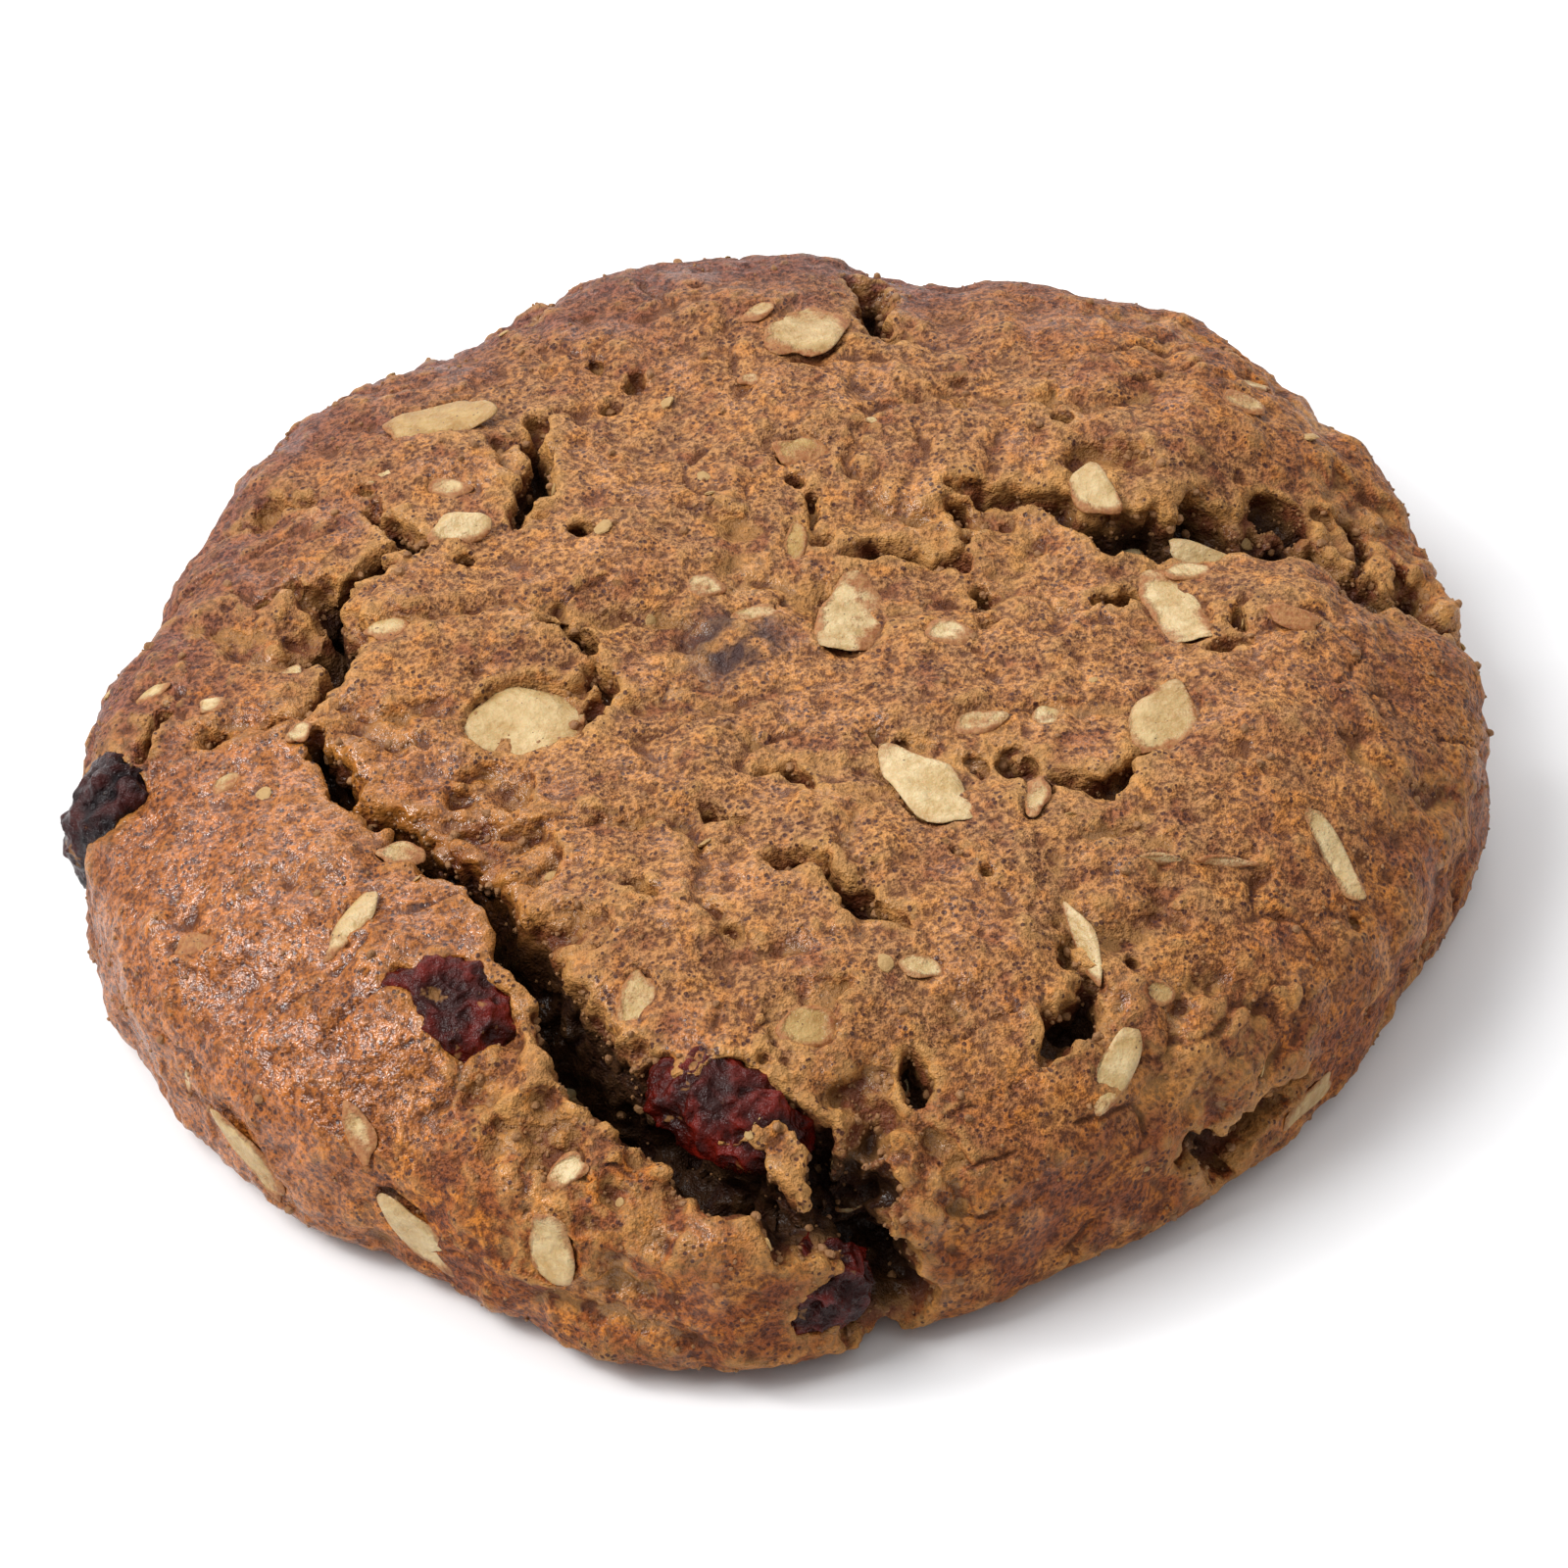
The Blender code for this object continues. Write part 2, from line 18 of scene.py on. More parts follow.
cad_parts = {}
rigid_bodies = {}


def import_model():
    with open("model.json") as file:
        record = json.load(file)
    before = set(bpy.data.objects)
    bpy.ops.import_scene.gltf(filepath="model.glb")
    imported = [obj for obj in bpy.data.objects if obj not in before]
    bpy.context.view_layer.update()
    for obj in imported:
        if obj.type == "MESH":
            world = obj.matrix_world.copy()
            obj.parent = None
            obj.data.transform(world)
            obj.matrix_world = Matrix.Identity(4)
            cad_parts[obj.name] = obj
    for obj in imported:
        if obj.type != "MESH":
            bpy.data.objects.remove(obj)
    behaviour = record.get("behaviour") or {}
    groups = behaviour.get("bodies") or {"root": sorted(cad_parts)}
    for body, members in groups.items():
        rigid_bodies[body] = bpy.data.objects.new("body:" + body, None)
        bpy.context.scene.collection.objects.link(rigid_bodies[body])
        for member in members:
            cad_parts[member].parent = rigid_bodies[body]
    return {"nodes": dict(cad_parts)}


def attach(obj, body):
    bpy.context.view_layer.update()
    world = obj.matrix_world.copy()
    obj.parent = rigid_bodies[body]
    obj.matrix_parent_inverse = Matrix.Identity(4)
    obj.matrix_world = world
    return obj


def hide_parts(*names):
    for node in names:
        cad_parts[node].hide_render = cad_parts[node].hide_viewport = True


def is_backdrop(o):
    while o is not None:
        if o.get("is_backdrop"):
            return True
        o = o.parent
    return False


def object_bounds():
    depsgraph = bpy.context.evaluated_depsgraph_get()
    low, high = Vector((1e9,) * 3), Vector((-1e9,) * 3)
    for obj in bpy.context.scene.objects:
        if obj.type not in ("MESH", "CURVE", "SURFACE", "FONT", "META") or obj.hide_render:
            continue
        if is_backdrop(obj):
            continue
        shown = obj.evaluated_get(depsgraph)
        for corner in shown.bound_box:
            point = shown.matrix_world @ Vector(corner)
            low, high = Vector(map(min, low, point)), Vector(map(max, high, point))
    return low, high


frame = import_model()
cad_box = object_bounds()
MM = 0.001
MIDDLE = np.array([0.05, 0.93, 0.0])  # middle of the outline, seen from the rim's centre
SEED = 20
print("frame nodes:", sorted(frame["nodes"]))

# %% [markdown]
# ## Noise to wander by
#
# Dough is uneven at every scale. Smooth random values in space, one random number on each corner
# of a grid and an eased blend between them, can be asked for at any length in millimetres.


# %% Smooth random values in space
class Noise:
    """Smooth random values from -1 to 1 in space, the same on each run.

    A number added to the points reads the pattern elsewhere, so that no two uses look alike.
    """

    def __init__(self, seed, cells=32):
        self.cells = cells  # the pattern repeats after this many cells
        self.values = np.random.default_rng(seed).uniform(-1, 1, (cells,) * 3).ravel()

    def __call__(self, points, length):
        places = points / length
        corner = np.floor(places)
        share = places - corner
        share = share**3 * (share * (share * 6 - 15) + 10)
        low = corner.astype(int) % self.cells
        high = (low + 1) % self.cells
        total = 0.0
        for steps in np.ndindex(2, 2, 2):
            x, y, z = (high[:, k] if step else low[:, k] for k, step in enumerate(steps))
            a, b, c = (share[:, k] if step else 1 - share[:, k] for k, step in enumerate(steps))
            total = total + a * b * c * self.values[(x * self.cells + y) * self.cells + z]
        return total


def smoothstep(low, high, values):
    t = np.clip((values - low) / (high - low), 0, 1)
    return t * t * (3 - 2 * t)


noise = Noise(SEED)
fine_noise = Noise(SEED + 1, 64)
print("noise at the origin:", noise(np.zeros((1, 3)), 5.0))

# %% [markdown]
# ## The lump before it cracks
#
# Seen from above the rim is a wobbly circle, given by a radius every 15 degrees. Seen from the
# side it is a rounded shoulder over a tighter foot. Every point of the skin then has two
# coordinates: its azimuth, and its place along that section from the top's middle to the
# underside's.

# %% Outline and section
THICKNESS = 17.6
WAIST_HEIGHT = 7.0
SHOULDER_POWER = 3.1
FOOT_POWER = 8.0
FOOT_FLAT = 0.12
TOP_SHARE = 0.70
RIM_RADII = (
    42.7, 43.2, 44.2, 45.4, 46.8, 43.6, 45.0, 44.0,
    42.3, 42.2, 41.0, 39.8, 41.6, 42.8, 42.8, 42.4,
    41.6, 42.8, 42.4, 39.9, 38.6, 38.5, 39.2, 40.2,
)


class Mound(NamedTuple):
    """A lobe that rose more than the dough round it, or less: centre, radius and rise."""

    x: float
    y: float
    radius: float
    rise: float


MOUNDS = [Mound(*row) for row in (
    (24, 26, 11, 1.3), (35, 21, 7, -1.2), (29, 16, 5, -1.2), (39, 15, 6, -2.2), (31, -3, 8, 1.7),
    (32, 6, 5, 0.8), (-32, -28, 8, -1.8), (-19, -38, 8, -1.8), (25, -14, 9, 0.7), (0, 33, 9, 0.8),
    (-26, -20, 8, 0.8), (-29, 4, 6, -0.8), (-22, 20, 8, 0.5), (-3, 0, 12, -0.6), (9, -27, 9, 0.5),
    (-6, -40, 7, -1.8), (3, -36, 5, -1.2),
    # The left lobe stands over the canyon, and the middle plate slopes into it
    (-28.6, -14, 4.5, 1.1), (-22.5, -24, 4, 0.8), (-15, -34, 4, 0.7), (-20.5, -11, 4, -1.1),
    (-14, -20, 3.5, -1.0), (-9, -29, 3, -0.6), (-23.5, 3, 3, 0.7), (-18.5, 17, 3.5, 0.8),
    (9, 4, 6, -0.5), (-9, 11, 6, 0.4), (20, -18, 5, 0.6), (21.5, 16.5, 3.6, 1.0),
    (30, 20.5, 5.0, 1.0), (33, 13.5, 4.5, -1.0), (30, 6.5, 4.0, 0.8),
)]


def rim_radius(azimuth):
    """The rim's radius, on a smooth closed curve through RIM_RADII."""
    count = len(RIM_RADII)
    radii = np.array(RIM_RADII)
    place = np.mod(azimuth, 2 * np.pi) / (2 * np.pi) * count
    step = np.floor(place).astype(int)
    t = place - step
    before, start, end, after = (radii[(step + k) % count] for k in (-1, 0, 1, 2))
    slope_start = (end - before) / 2
    slope_end = (after - start) / 2
    return (
        start * (1 - 3 * t**2 + 2 * t**3)
        + end * (3 * t**2 - 2 * t**3)
        + slope_start * (t - 2 * t**2 + t**3)
        + slope_end * (t**3 - t**2)
    )


def make_profile():
    """The section: the place along it from 0 to 1, the share of the rim's radius, the height."""
    turn = np.linspace(0, np.pi / 2, 240)
    share_top = np.sin(turn) ** (2 / SHOULDER_POWER)
    height_top = WAIST_HEIGHT + (THICKNESS - WAIST_HEIGHT) * np.cos(turn) ** (2 / SHOULDER_POWER)
    share_foot = np.cos(turn) ** (2 / FOOT_POWER)
    height_foot = WAIST_HEIGHT * (1 - np.sin(turn) ** (2 / FOOT_POWER))
    height_foot = np.maximum(height_foot - FOOT_FLAT, 0)
    mean_radius = float(np.mean(RIM_RADII))

    def along(share, height):
        steps = np.hypot(np.diff(share * mean_radius), np.diff(height))
        return np.concatenate(([0.0], np.cumsum(steps)))

    top = along(share_top, height_top)
    foot = along(share_foot, height_foot)
    foot_place = TOP_SHARE + foot[1:] / foot[-1] * (1 - TOP_SHARE)
    place = np.concatenate((top / top[-1] * TOP_SHARE, foot_place))
    share = np.concatenate((share_top, share_foot[1:]))
    return place, share, np.concatenate((height_top, height_foot[1:]))


PROFILE_PLACE, PROFILE_SHARE, PROFILE_HEIGHT = make_profile()
WAIST = int(np.argmax(PROFILE_SHARE))


def dough_surface(azimuth, place):
    """Points of the whole, uncracked dough, in millimetres."""
    share = np.interp(place, PROFILE_PLACE, PROFILE_SHARE)
    height = np.interp(place, PROFILE_PLACE, PROFILE_HEIGHT)
    radius = share * rim_radius(azimuth)
    points = np.stack((radius * np.cos(azimuth), radius * np.sin(azimuth), height), axis=-1)
    rise = np.zeros(len(points))
    for mound in MOUNDS:
        away = np.hypot(points[:, 0] - mound.x, points[:, 1] - mound.y) / mound.radius
        rise += mound.rise * np.exp(-(away**2))
    points[:, 2] += rise * (height / THICKNESS) ** 2
    return points


def spot(first, second, on_side):
    """(azimuth, place) of x and y on the top, or of an azimuth in degrees and a height."""
    if on_side:
        return np.radians(first), np.interp(-second, -PROFILE_HEIGHT, PROFILE_PLACE)
    azimuth = np.arctan2(second, first)
    share = np.hypot(first, second) / rim_radius(azimuth)
    return azimuth, np.interp(share, PROFILE_SHARE[: WAIST + 1], PROFILE_PLACE[: WAIST + 1])


def frame_at(first, second, on_side, turn):
    """A point of the dough and the directions along, across and out of a topping there."""
    azimuth, place = spot(first, second, on_side)
    step = 1e-3
    point, round_it, down_it = dough_surface(
        np.array([azimuth, azimuth + step, azimuth]), np.array([place, place, place + step])
    )
    out = np.cross(down_it - point, round_it - point)
    out /= np.linalg.norm(out)
    level = round_it - point if on_side else np.array([1.0, 0.0, 0.0])
    level = level - out * (level @ out)
    level /= np.linalg.norm(level)
    upward = np.cross(out, level)
    angle = np.radians(turn)
    along = level * np.cos(angle) + upward * np.sin(angle)
    return point, np.stack((along, np.cross(out, along), out))


def frame_of(topping):
    """The same for a flake or a fruit."""
    return frame_at(topping.x, topping.y, topping.on_side, topping.turn)


print("height of the shoulder at the right rim:", dough_surface(np.zeros(1), np.array([0.6])))

# %% [markdown]
# ## Cracks
#
# As the inside rises, the dried crust tears. Each crack is a path with a half width and a depth
# at each station. Points near the path sink, and points on its wall are pushed in under the lip,
# so the lips overhang. The distance is measured from a point that has wandered by some noise,
# which makes the edges ragged.


# %% The cracks
class Crack(NamedTuple):
    """One break in the crust.

    path: (x, y, half width, depth) along it, on top of the cookie, or for a break in the side
    (azimuth in degrees, height, half width, depth).
    """

    path: tuple
    on_side: bool = False


# The paths follow the photo, and the depths the darkness in each crack
CRACKS = (
    # The long canyon between the left lobe and the middle, which runs out at the front rim
    Crack(((-26, 17.5, 0.4, 1.5), (-24, 14, 0.7, 4.0), (-22.6, 10.6, 1.0, 5.0),
          (-25.5, 8.5, 0.6, 3.0), (-27.2, 6, 1.1, 5.0), (-27.2, 2.5, 1.2, 5.0),
          (-26.4, 0, 0.9, 5.0), (-28.6, -3.5, 0.5, 3.5), (-26.2, -8.0, 1.1, 7.0),
          (-25.8, -11.2, 0.8, 5.0), (-21.6, -13.6, 1.0, 6.0), (-19.4, -16.6, 1.7, 8.0),
          (-16.6, -19.4, 1.3, 8.0), (-15.2, -22.8, 2.0, 9.0), (-13.4, -26.0, 1.3, 8.0),
          (-11.8, -29, 2.1, 9.5), (-8.8, -33.2, 2.3, 10.5), (-5.2, -37.6, 1.3, 7.0),
          (-1.4, -40, 1.6, 8.0), (3.2, -41.2, 1.9, 10.0))),
    # Round the other side of the front fruit, down into the same notch
    Crack(((-1.4, -31, 0.5, 3.0), (-0.2, -34, 0.8, 5.0), (2.4, -36.2, 1.1, 6.5),
          (1.8, -39, 0.8, 5.0), (3.4, -41.4, 1.3, 7.0))),
    # The notch itself, open from the top to the tray
    Crack(((276, 13, 1.6, 8), (277, 8, 2.0, 8), (277.5, 3, 2.3, 7), (278, 0, 2.3, 6)), True),
    # The wide tear on the right, which opens towards the rim
    Crack(((10.6, 15.4, 0.6, 2.0), (13.4, 15, 0.7, 2.2), (16.8, 13.8, 0.8, 3.0),
          (19.4, 11.2, 1.3, 4.6), (24, 11.9, 1.9, 4.0), (29, 12.4, 2.0, 3.6), (34, 12.8, 2.2, 3.4),
          (38.6, 11.4, 2.0, 3.4), (41, 9.6, 1.6, 3.0))),
    Crack(((14, 12.5, 1.8, 2.8), (13, 8, 1.7, 2.6), (12, 4, 1.3, 2.0)), True),
    # Breaks in the upper left
    Crack(((-14.8, 22.4, 0.5, 2.0), (-15.2, 20, 1.0, 3.6), (-14.8, 17.6, 0.8, 3.0),
          (-15.8, 15.4, 1.0, 3.4), (-15.6, 12.6, 0.6, 2.0))),
    Crack(((-11.8, 12, 0.7, 2.4), (-11.2, 9.6, 0.4, 1.2))),
    Crack(((-14, 30, 0.4, 1.2), (-12, 28.4, 0.5, 1.4), (-10.6, 26, 0.4, 1.2))),
    Crack(((-36, 15.2, 0.5, 1.4), (-31.6, 17, 0.6, 1.6), (-28.6, 16.4, 0.5, 1.4))),
    Crack(((-32.6, 7.4, 0.4, 1.2), (-29.6, 8, 0.5, 1.6), (-27.4, 7.4, 0.5, 2.0))),
    # Beside the broad flake, left of the middle
    Crack(((-14.4, 3.2, 0.7, 2.2), (-12.0, 1.8, 0.7, 2.4), (-10.8, -1.6, 0.6, 2.4),
          (-11.6, -6.6, 0.5, 1.8), (-12.8, -8.6, 0.4, 1.2))),
    # Breaks at the back and in the middle
    Crack(((5.9, 38, 1.0, 3.8), (5.8, 34.4, 1.12, 4.5), (5.4, 31, 0.64, 2.6))),
    Crack(((11, 24.6, 0.46, 1.4), (11.4, 21, 0.52, 1.6), (10.6, 17.4, 0.46, 1.6))),
    Crack(((0.6, 18.6, 0.46, 1.6), (1.2, 14.6, 0.58, 1.9), (3, 9, 0.64, 2.2),
          (7, 9.8, 0.76, 2.6))),
    Crack(((7, 9.8, 0.64, 1.9), (10.4, 9.2, 0.64, 1.9), (11.6, 6, 0.52, 1.6),
          (12.2, 1, 0.46, 1.4))),
    Crack(((11, 13.4, 0.88, 3.5), (11, 11, 0.64, 2.2))),
    Crack(((15.6, 5.4, 0.46, 1.4), (18, 4.2, 0.52, 1.8), (20.6, 6, 0.64, 2.2))),
    Crack(((24.6, 1, 0.52, 1.6), (26.6, 1.2, 0.52, 1.8), (27.4, 5.6, 0.46, 1.6))),
    Crack(((-2.2, -8.8, 0.52, 1.8), (0.2, -9, 0.64, 2.1), (2, -10.8, 0.52, 1.8),
          (3.6, -13, 0.52, 1.6))),
    Crack(((0.2, -17.4, 1.0, 3.8), (2.6, -18.6, 0.88, 3.5), (4.6, -20.4, 1.0, 3.8),
          (6.8, -22.2, 0.64, 2.2))),
    Crack(((-8.2, -18.8, 0.46, 1.6), (-7, -21.6, 0.64, 2.1))),
    Crack(((12.6, -8.8, 0.64, 2.1), (14.6, -10.4, 0.76, 2.2), (18.6, -11, 1.0, 3.2),
          (21, -8.8, 0.76, 2.6))),
    Crack(((14.6, -10.4, 0.52, 1.6), (15.7, -13.8, 0.52, 1.6))),
    # Holes on the right and at the front
    Crack(((15.8, -20.6, 0.5, 1.4), (17.2, -25.4, 0.5, 1.4), (16.4, -28, 1.1, 4.0),
          (15, -31, 0.6, 2.0))),
    Crack(((19.4, -24.2, 0.6, 1.8), (20.4, -24.6, 0.5, 1.4))),
    Crack(((8, -31.6, 0.8, 4.0), (8.1, -33.2, 0.8, 4.0))),
    Crack(((25.4, -25.4, 0.35, 0.9), (26.8, -28.6, 0.4, 1.0))),
    # Hollows in the broken face above the tear
    Crack(((30.6, 17.4, 0.9, 2.4), (32.2, 16.0, 1.0, 2.6))),
    Crack(((34.6, 17.6, 0.8, 2.2), (35.4, 15.4, 0.9, 2.6))),
    Crack(((37.6, 15.4, 0.7, 2.0), (39.2, 13.4, 0.8, 2.2))),
    Crack(((25.2, 14.6, 1.0, 3.0), (27.6, 14.9, 0.9, 2.6))),
    # Short splits all over
    Crack(((-8.4, 27.4, 0.46, 1.4), (-10.8, 24.6, 0.52, 1.8), (-11.4, 21.6, 0.4, 1.3))),
    Crack(((-31.0, -4.4, 0.64, 2.9), (-29.0, -4.0, 0.76, 3.8))),
    Crack(((-33.6, -5.4, 0.76, 2.9), (-32.6, -5.0, 0.76, 2.9))),
    Crack(((4.6, -4.0, 0.46, 1.6), (5.6, -6.8, 0.52, 1.9))),
    Crack(((7.4, -7.0, 0.4, 1.4), (9.6, -8.6, 0.52, 1.9), (11.2, -9.4, 0.4, 1.3))),
    Crack(((9.8, -17.0, 0.46, 1.6), (11.0, -18.8, 0.52, 1.9))),
    Crack(((-4.4, -13.2, 0.52, 1.9), (-2.4, -13.8, 0.46, 1.6))),
    Crack(((-4.8, -22.6, 0.64, 1.9), (-3.6, -23.4, 0.52, 1.6))),
    Crack(((16.8, 24.4, 0.4, 1.3), (17.0, 20.4, 0.46, 1.6))),
    Crack(((33.2, -17.6, 0.64, 2.2), (34.0, -19.6, 0.52, 1.9))),
    Crack(((-20.4, 9.4, 0.52, 1.9), (-17.8, 8.8, 0.4, 1.4))),
    Crack(((-38.0, -4.6, 0.76, 2.6), (-36.2, -2.4, 0.64, 2.2), (-36.4, 0.6, 0.52, 1.9))),
    Crack(((-10.2, -32.4, 1.0, 4.8), (-8.0, -31.0, 0.64, 2.6))),
    # The shelf break low on the right of the front, under an overhanging lip
    Crack(((306, 7.5, 0.8, 2.0), (312, 6, 1.4, 4.0), (318, 6.5, 1.3, 3.5),
          (324, 8, 0.8, 2.0)), True),
    Crack(((312, 6, 1.0, 3.0), (311, 3, 1.3, 3.5), (311, 0, 1.2, 3.0)), True),
)

# Places where the crust broke off: x, y, radius and how far the crumb lies below the crust
BROKEN = (
    (34.5, 15.6, 6.0, 0.8), (28.5, 14.6, 3.5, 0.6), (-27.6, 3.4, 2.6, 0.8), (-27.0, 7.0, 2.2, 0.6),
    (-19.4, -14.6, 3.0, 0.7), (-24.4, -5.8, 2.4, 0.5), (-13.6, -23.6, 2.4, 0.6),
    (-8.6, -32.4, 2.0, 0.7), (4.6, -35.6, 3.0, 0.8), (-16.4, 18.2, 2.2, 0.6),
    (13.0, 12.8, 2.2, 0.5), (18.6, -10.4, 2.0, 0.4), (-30.8, 6.8, 2.4, 0.4), (8.2, 9.4, 2.0, 0.4),
    (16.6, -27.2, 2.2, 0.5), (6.4, 31.4, 2.0, 0.5), (-15.0, -16.6, 2.6, 1.1),
    (-17.4, -11.4, 2.4, 0.9), (-11.6, -22.2, 2.2, 1.0), (-13.5, -36.5, 4.2, 0.5),
    (-9.0, -40.0, 3.6, 0.6), (7.0, -38.5, 3.4, 0.6), (1.0, -29.0, 2.6, 0.5),
    (-17.0, -31.0, 2.4, 0.4), (36.0, 8.4, 2.6, 0.5), (20.0, 15.6, 2.6, 0.6),
)
BROKEN_LUMPS = ((2.2, 0.60), (1.2, 0.50))  # length and height of the lumps in them

# A wall's section: the place across it, the push under the lip, and the share of the depth
WALL_SECTION = ((-1.0, 0.75, 1.0), (-0.35, 0.45, 0.6), (0.05, -0.05, 0.05), (0.25, 0.0, 0.0))
WALL_SHARE = 0.45  # thickness of the wall, as a share of the half width
WALL_BAND = 1.0  # and in millimetres at most
# Length and height of what wanders: the cracks' edges, swells in the crust, lumps on the floor
RAGGED = ((3.4, 0.90), (1.7, 0.50), (0.9, 0.45), (0.5, 0.22))
SWELLINGS = ((16.0, 0.55), (6.0, 0.45), (2.8, 0.28))
ROUGH_FLOOR = ((2.4, 1.1), (1.1, 0.55))
FULL_ROUGH = 3.0  # depth from which the floor is as rough as it gets
PLATES = ((9.5, 1.15), (5.2, 0.45))  # width of the plates of crust, and how they bulge
SEAM = 0.26  # width of the furrow between two plates, as a share of theirs
ON_TRAY = 3.0  # below this height the dough keeps the form that the tray gave it


def open_crack(crack, points, ragged, push, depth):
    """Adds one crack's sideways push and depth at each point of the dough."""
    stations = np.array([row[:2] for row in crack.path], float)
    spots = [np.atleast_1d(*spot(first, second, crack.on_side)) for first, second in stations]
    line = np.concatenate([dough_surface(*where) for where in spots])
    size = np.array([row[2:] for row in crack.path], float)
    reach = 2.5 * size[:, 0].max() + 2
    near = np.flatnonzero(((ragged > line.min(0) - reach) & (ragged < line.max(0) + reach)).all(1))
    nearest = np.full(len(near), np.inf)
    offset = np.zeros((len(near), 3))
    here = np.ones((len(near), 2))
    for k in range(len(line) - 1):
        step = line[k + 1] - line[k]
        t = np.clip((ragged[near] - line[k]) @ step / (step @ step), 0, 1)
        away = ragged[near] - (line[k] + t[:, None] * step)
        distance = np.linalg.norm(away, axis=1)
        closer = distance < nearest
        nearest[closer] = distance[closer]
        offset[closer] = away[closer]
        here[closer] = (size[k] + t[:, None] * (size[k + 1] - size[k]))[closer]
    half_width, deep = here.T
    band = np.minimum(WALL_SHARE * half_width, WALL_BAND)
    place = (nearest - half_width) / band
    section = np.array(WALL_SECTION)
    sideways = np.interp(place, section[:, 0], section[:, 1]) * band
    sideways *= np.clip(nearest / np.maximum(half_width - band, 1e-6), 0, 1)
    push[near] += offset / np.maximum(nearest, 1e-6)[:, None] * sideways[:, None]
    share = np.interp(place, section[:, 0], section[:, 2])
    depth[near] = np.maximum(depth[near], deep * share)


print("cracks:", len(CRACKS))

# %% [markdown]
# ## From a ball to the cracked lump
#
# A ball of even triangles has no poles and no seam. Its polar angle becomes the place along the
# section, then the cracks and swellings move each point. The whole, uncracked skin is kept too:
# how far a point lies beneath it tells crust from inner crumb.


# %% Mould the lump
def ball(subdivisions):
    """Points and triangles of a unit sphere with no poles."""
    bm = bmesh.new()
    bmesh.ops.create_icosphere(bm, subdivisions=subdivisions, radius=1.0)
    points = np.array([v.co for v in bm.verts], float)
    faces = np.array([[v.index for v in f.verts] for f in bm.faces])
    bm.free()
    return points / np.linalg.norm(points, axis=1, keepdims=True), faces


def normals_of(points, faces):
    """Each point's outward direction, from the triangles round it."""
    corners = points[faces]
    across = np.cross(corners[:, 1] - corners[:, 0], corners[:, 2] - corners[:, 0])
    total = np.zeros_like(points)
    for k in range(3):
        np.add.at(total, faces[:, k], across)
    return total / np.maximum(np.linalg.norm(total, axis=1, keepdims=True), 1e-9)


def mould(subdivisions, cracks):
    """Points and triangles of the dough, with the given cracks open, in millimetres."""
    directions, faces = ball(subdivisions)
    azimuth = np.arctan2(directions[:, 1], directions[:, 0])
    place = np.arccos(np.clip(directions[:, 2], -1, 1)) / np.pi
    points = dough_surface(azimuth, place)
    outward = normals_of(points, faces)
    ragged = points.copy()
    for length, wander in RAGGED:
        for axis in range(3):
            ragged[:, axis] += wander * noise(points + 40 * (axis + 1), length)
    push = np.zeros_like(points)
    depth = np.zeros(len(points))
    for crack in cracks:
        open_crack(crack, points, ragged, push, depth)
    push -= outward * np.sum(push * outward, axis=1, keepdims=True)
    lift = sum(height * noise(points + 9, length) for length, height in SWELLINGS)
    for length, height in ROUGH_FLOOR:
        lift += height * noise(points + 5, length) * np.clip(depth / FULL_ROUGH, 0, 1)
    # plates of crust bulge between furrows, where the noise crosses zero, in some places more
    plated = 0.3 + 0.7 * smoothstep(-0.25, 0.3, noise(points + 90, 13.0))
    for length, bulge in PLATES if cracks else ():
        from_seam = np.abs(noise(ragged + 7 * length, length)) / SEAM
        lift += plated * bulge * (np.sqrt(np.minimum(from_seam, 1)) - 0.8)
    for x, y, radius, sunk in BROKEN if cracks else ():
        away = np.hypot(ragged[:, 0] - x, ragged[:, 1] - y) / radius
        share = smoothstep(1.05, 0.85, away) * (points[:, 2] > WAIST_HEIGHT)
        lift -= share * sunk
        for length, height in BROKEN_LUMPS:
            lift += share * height * noise(points + 31, length)
    off_tray = np.clip(points[:, 2] / ON_TRAY, 0, 1)
    points = points + (push + outward * (lift - depth)[:, None]) * off_tray[:, None]
    points[:, 2] = np.maximum(points[:, 2], 0)
    return points, faces


lump, lump_faces = mould(8, CRACKS)
whole, whole_faces = mould(7, ())
whole_skin = BVHTree.FromPolygons(whole.tolist(), whole_faces.tolist())
lump_skin = BVHTree.FromPolygons(lump.tolist(), lump_faces.tolist())
print("lump:", len(lump_faces), "triangles")

# %% [markdown]
# ## Toppings
#
# A rolled oat is a groat pressed flat: an oval plate, thicker in the middle, with a crease down
# it. The large ones lie flush in the crust. Narrow ones stand on edge. Each is placed by a point
# on the dough, and then dropped along the surface's normal until it meets the real crust.


# %% Where the oats and the fruit lie
class Flake(NamedTuple):
    """A rolled oat: place, length, width, turn from +X in degrees, and how it lies.

    tilt: degrees from flat, about its length. rise: its middle above the crust, in millimetres.
    film: share that is covered with dough. gold: 0 for a cream flake to 1 for a toasted one.
    """

    x: float
    y: float
    length: float
    width: float
    turn: float
    film: float = 0.3
    gold: float = 0.2
    tilt: float = 0
    rise: float = -0.16
    on_side: bool = False


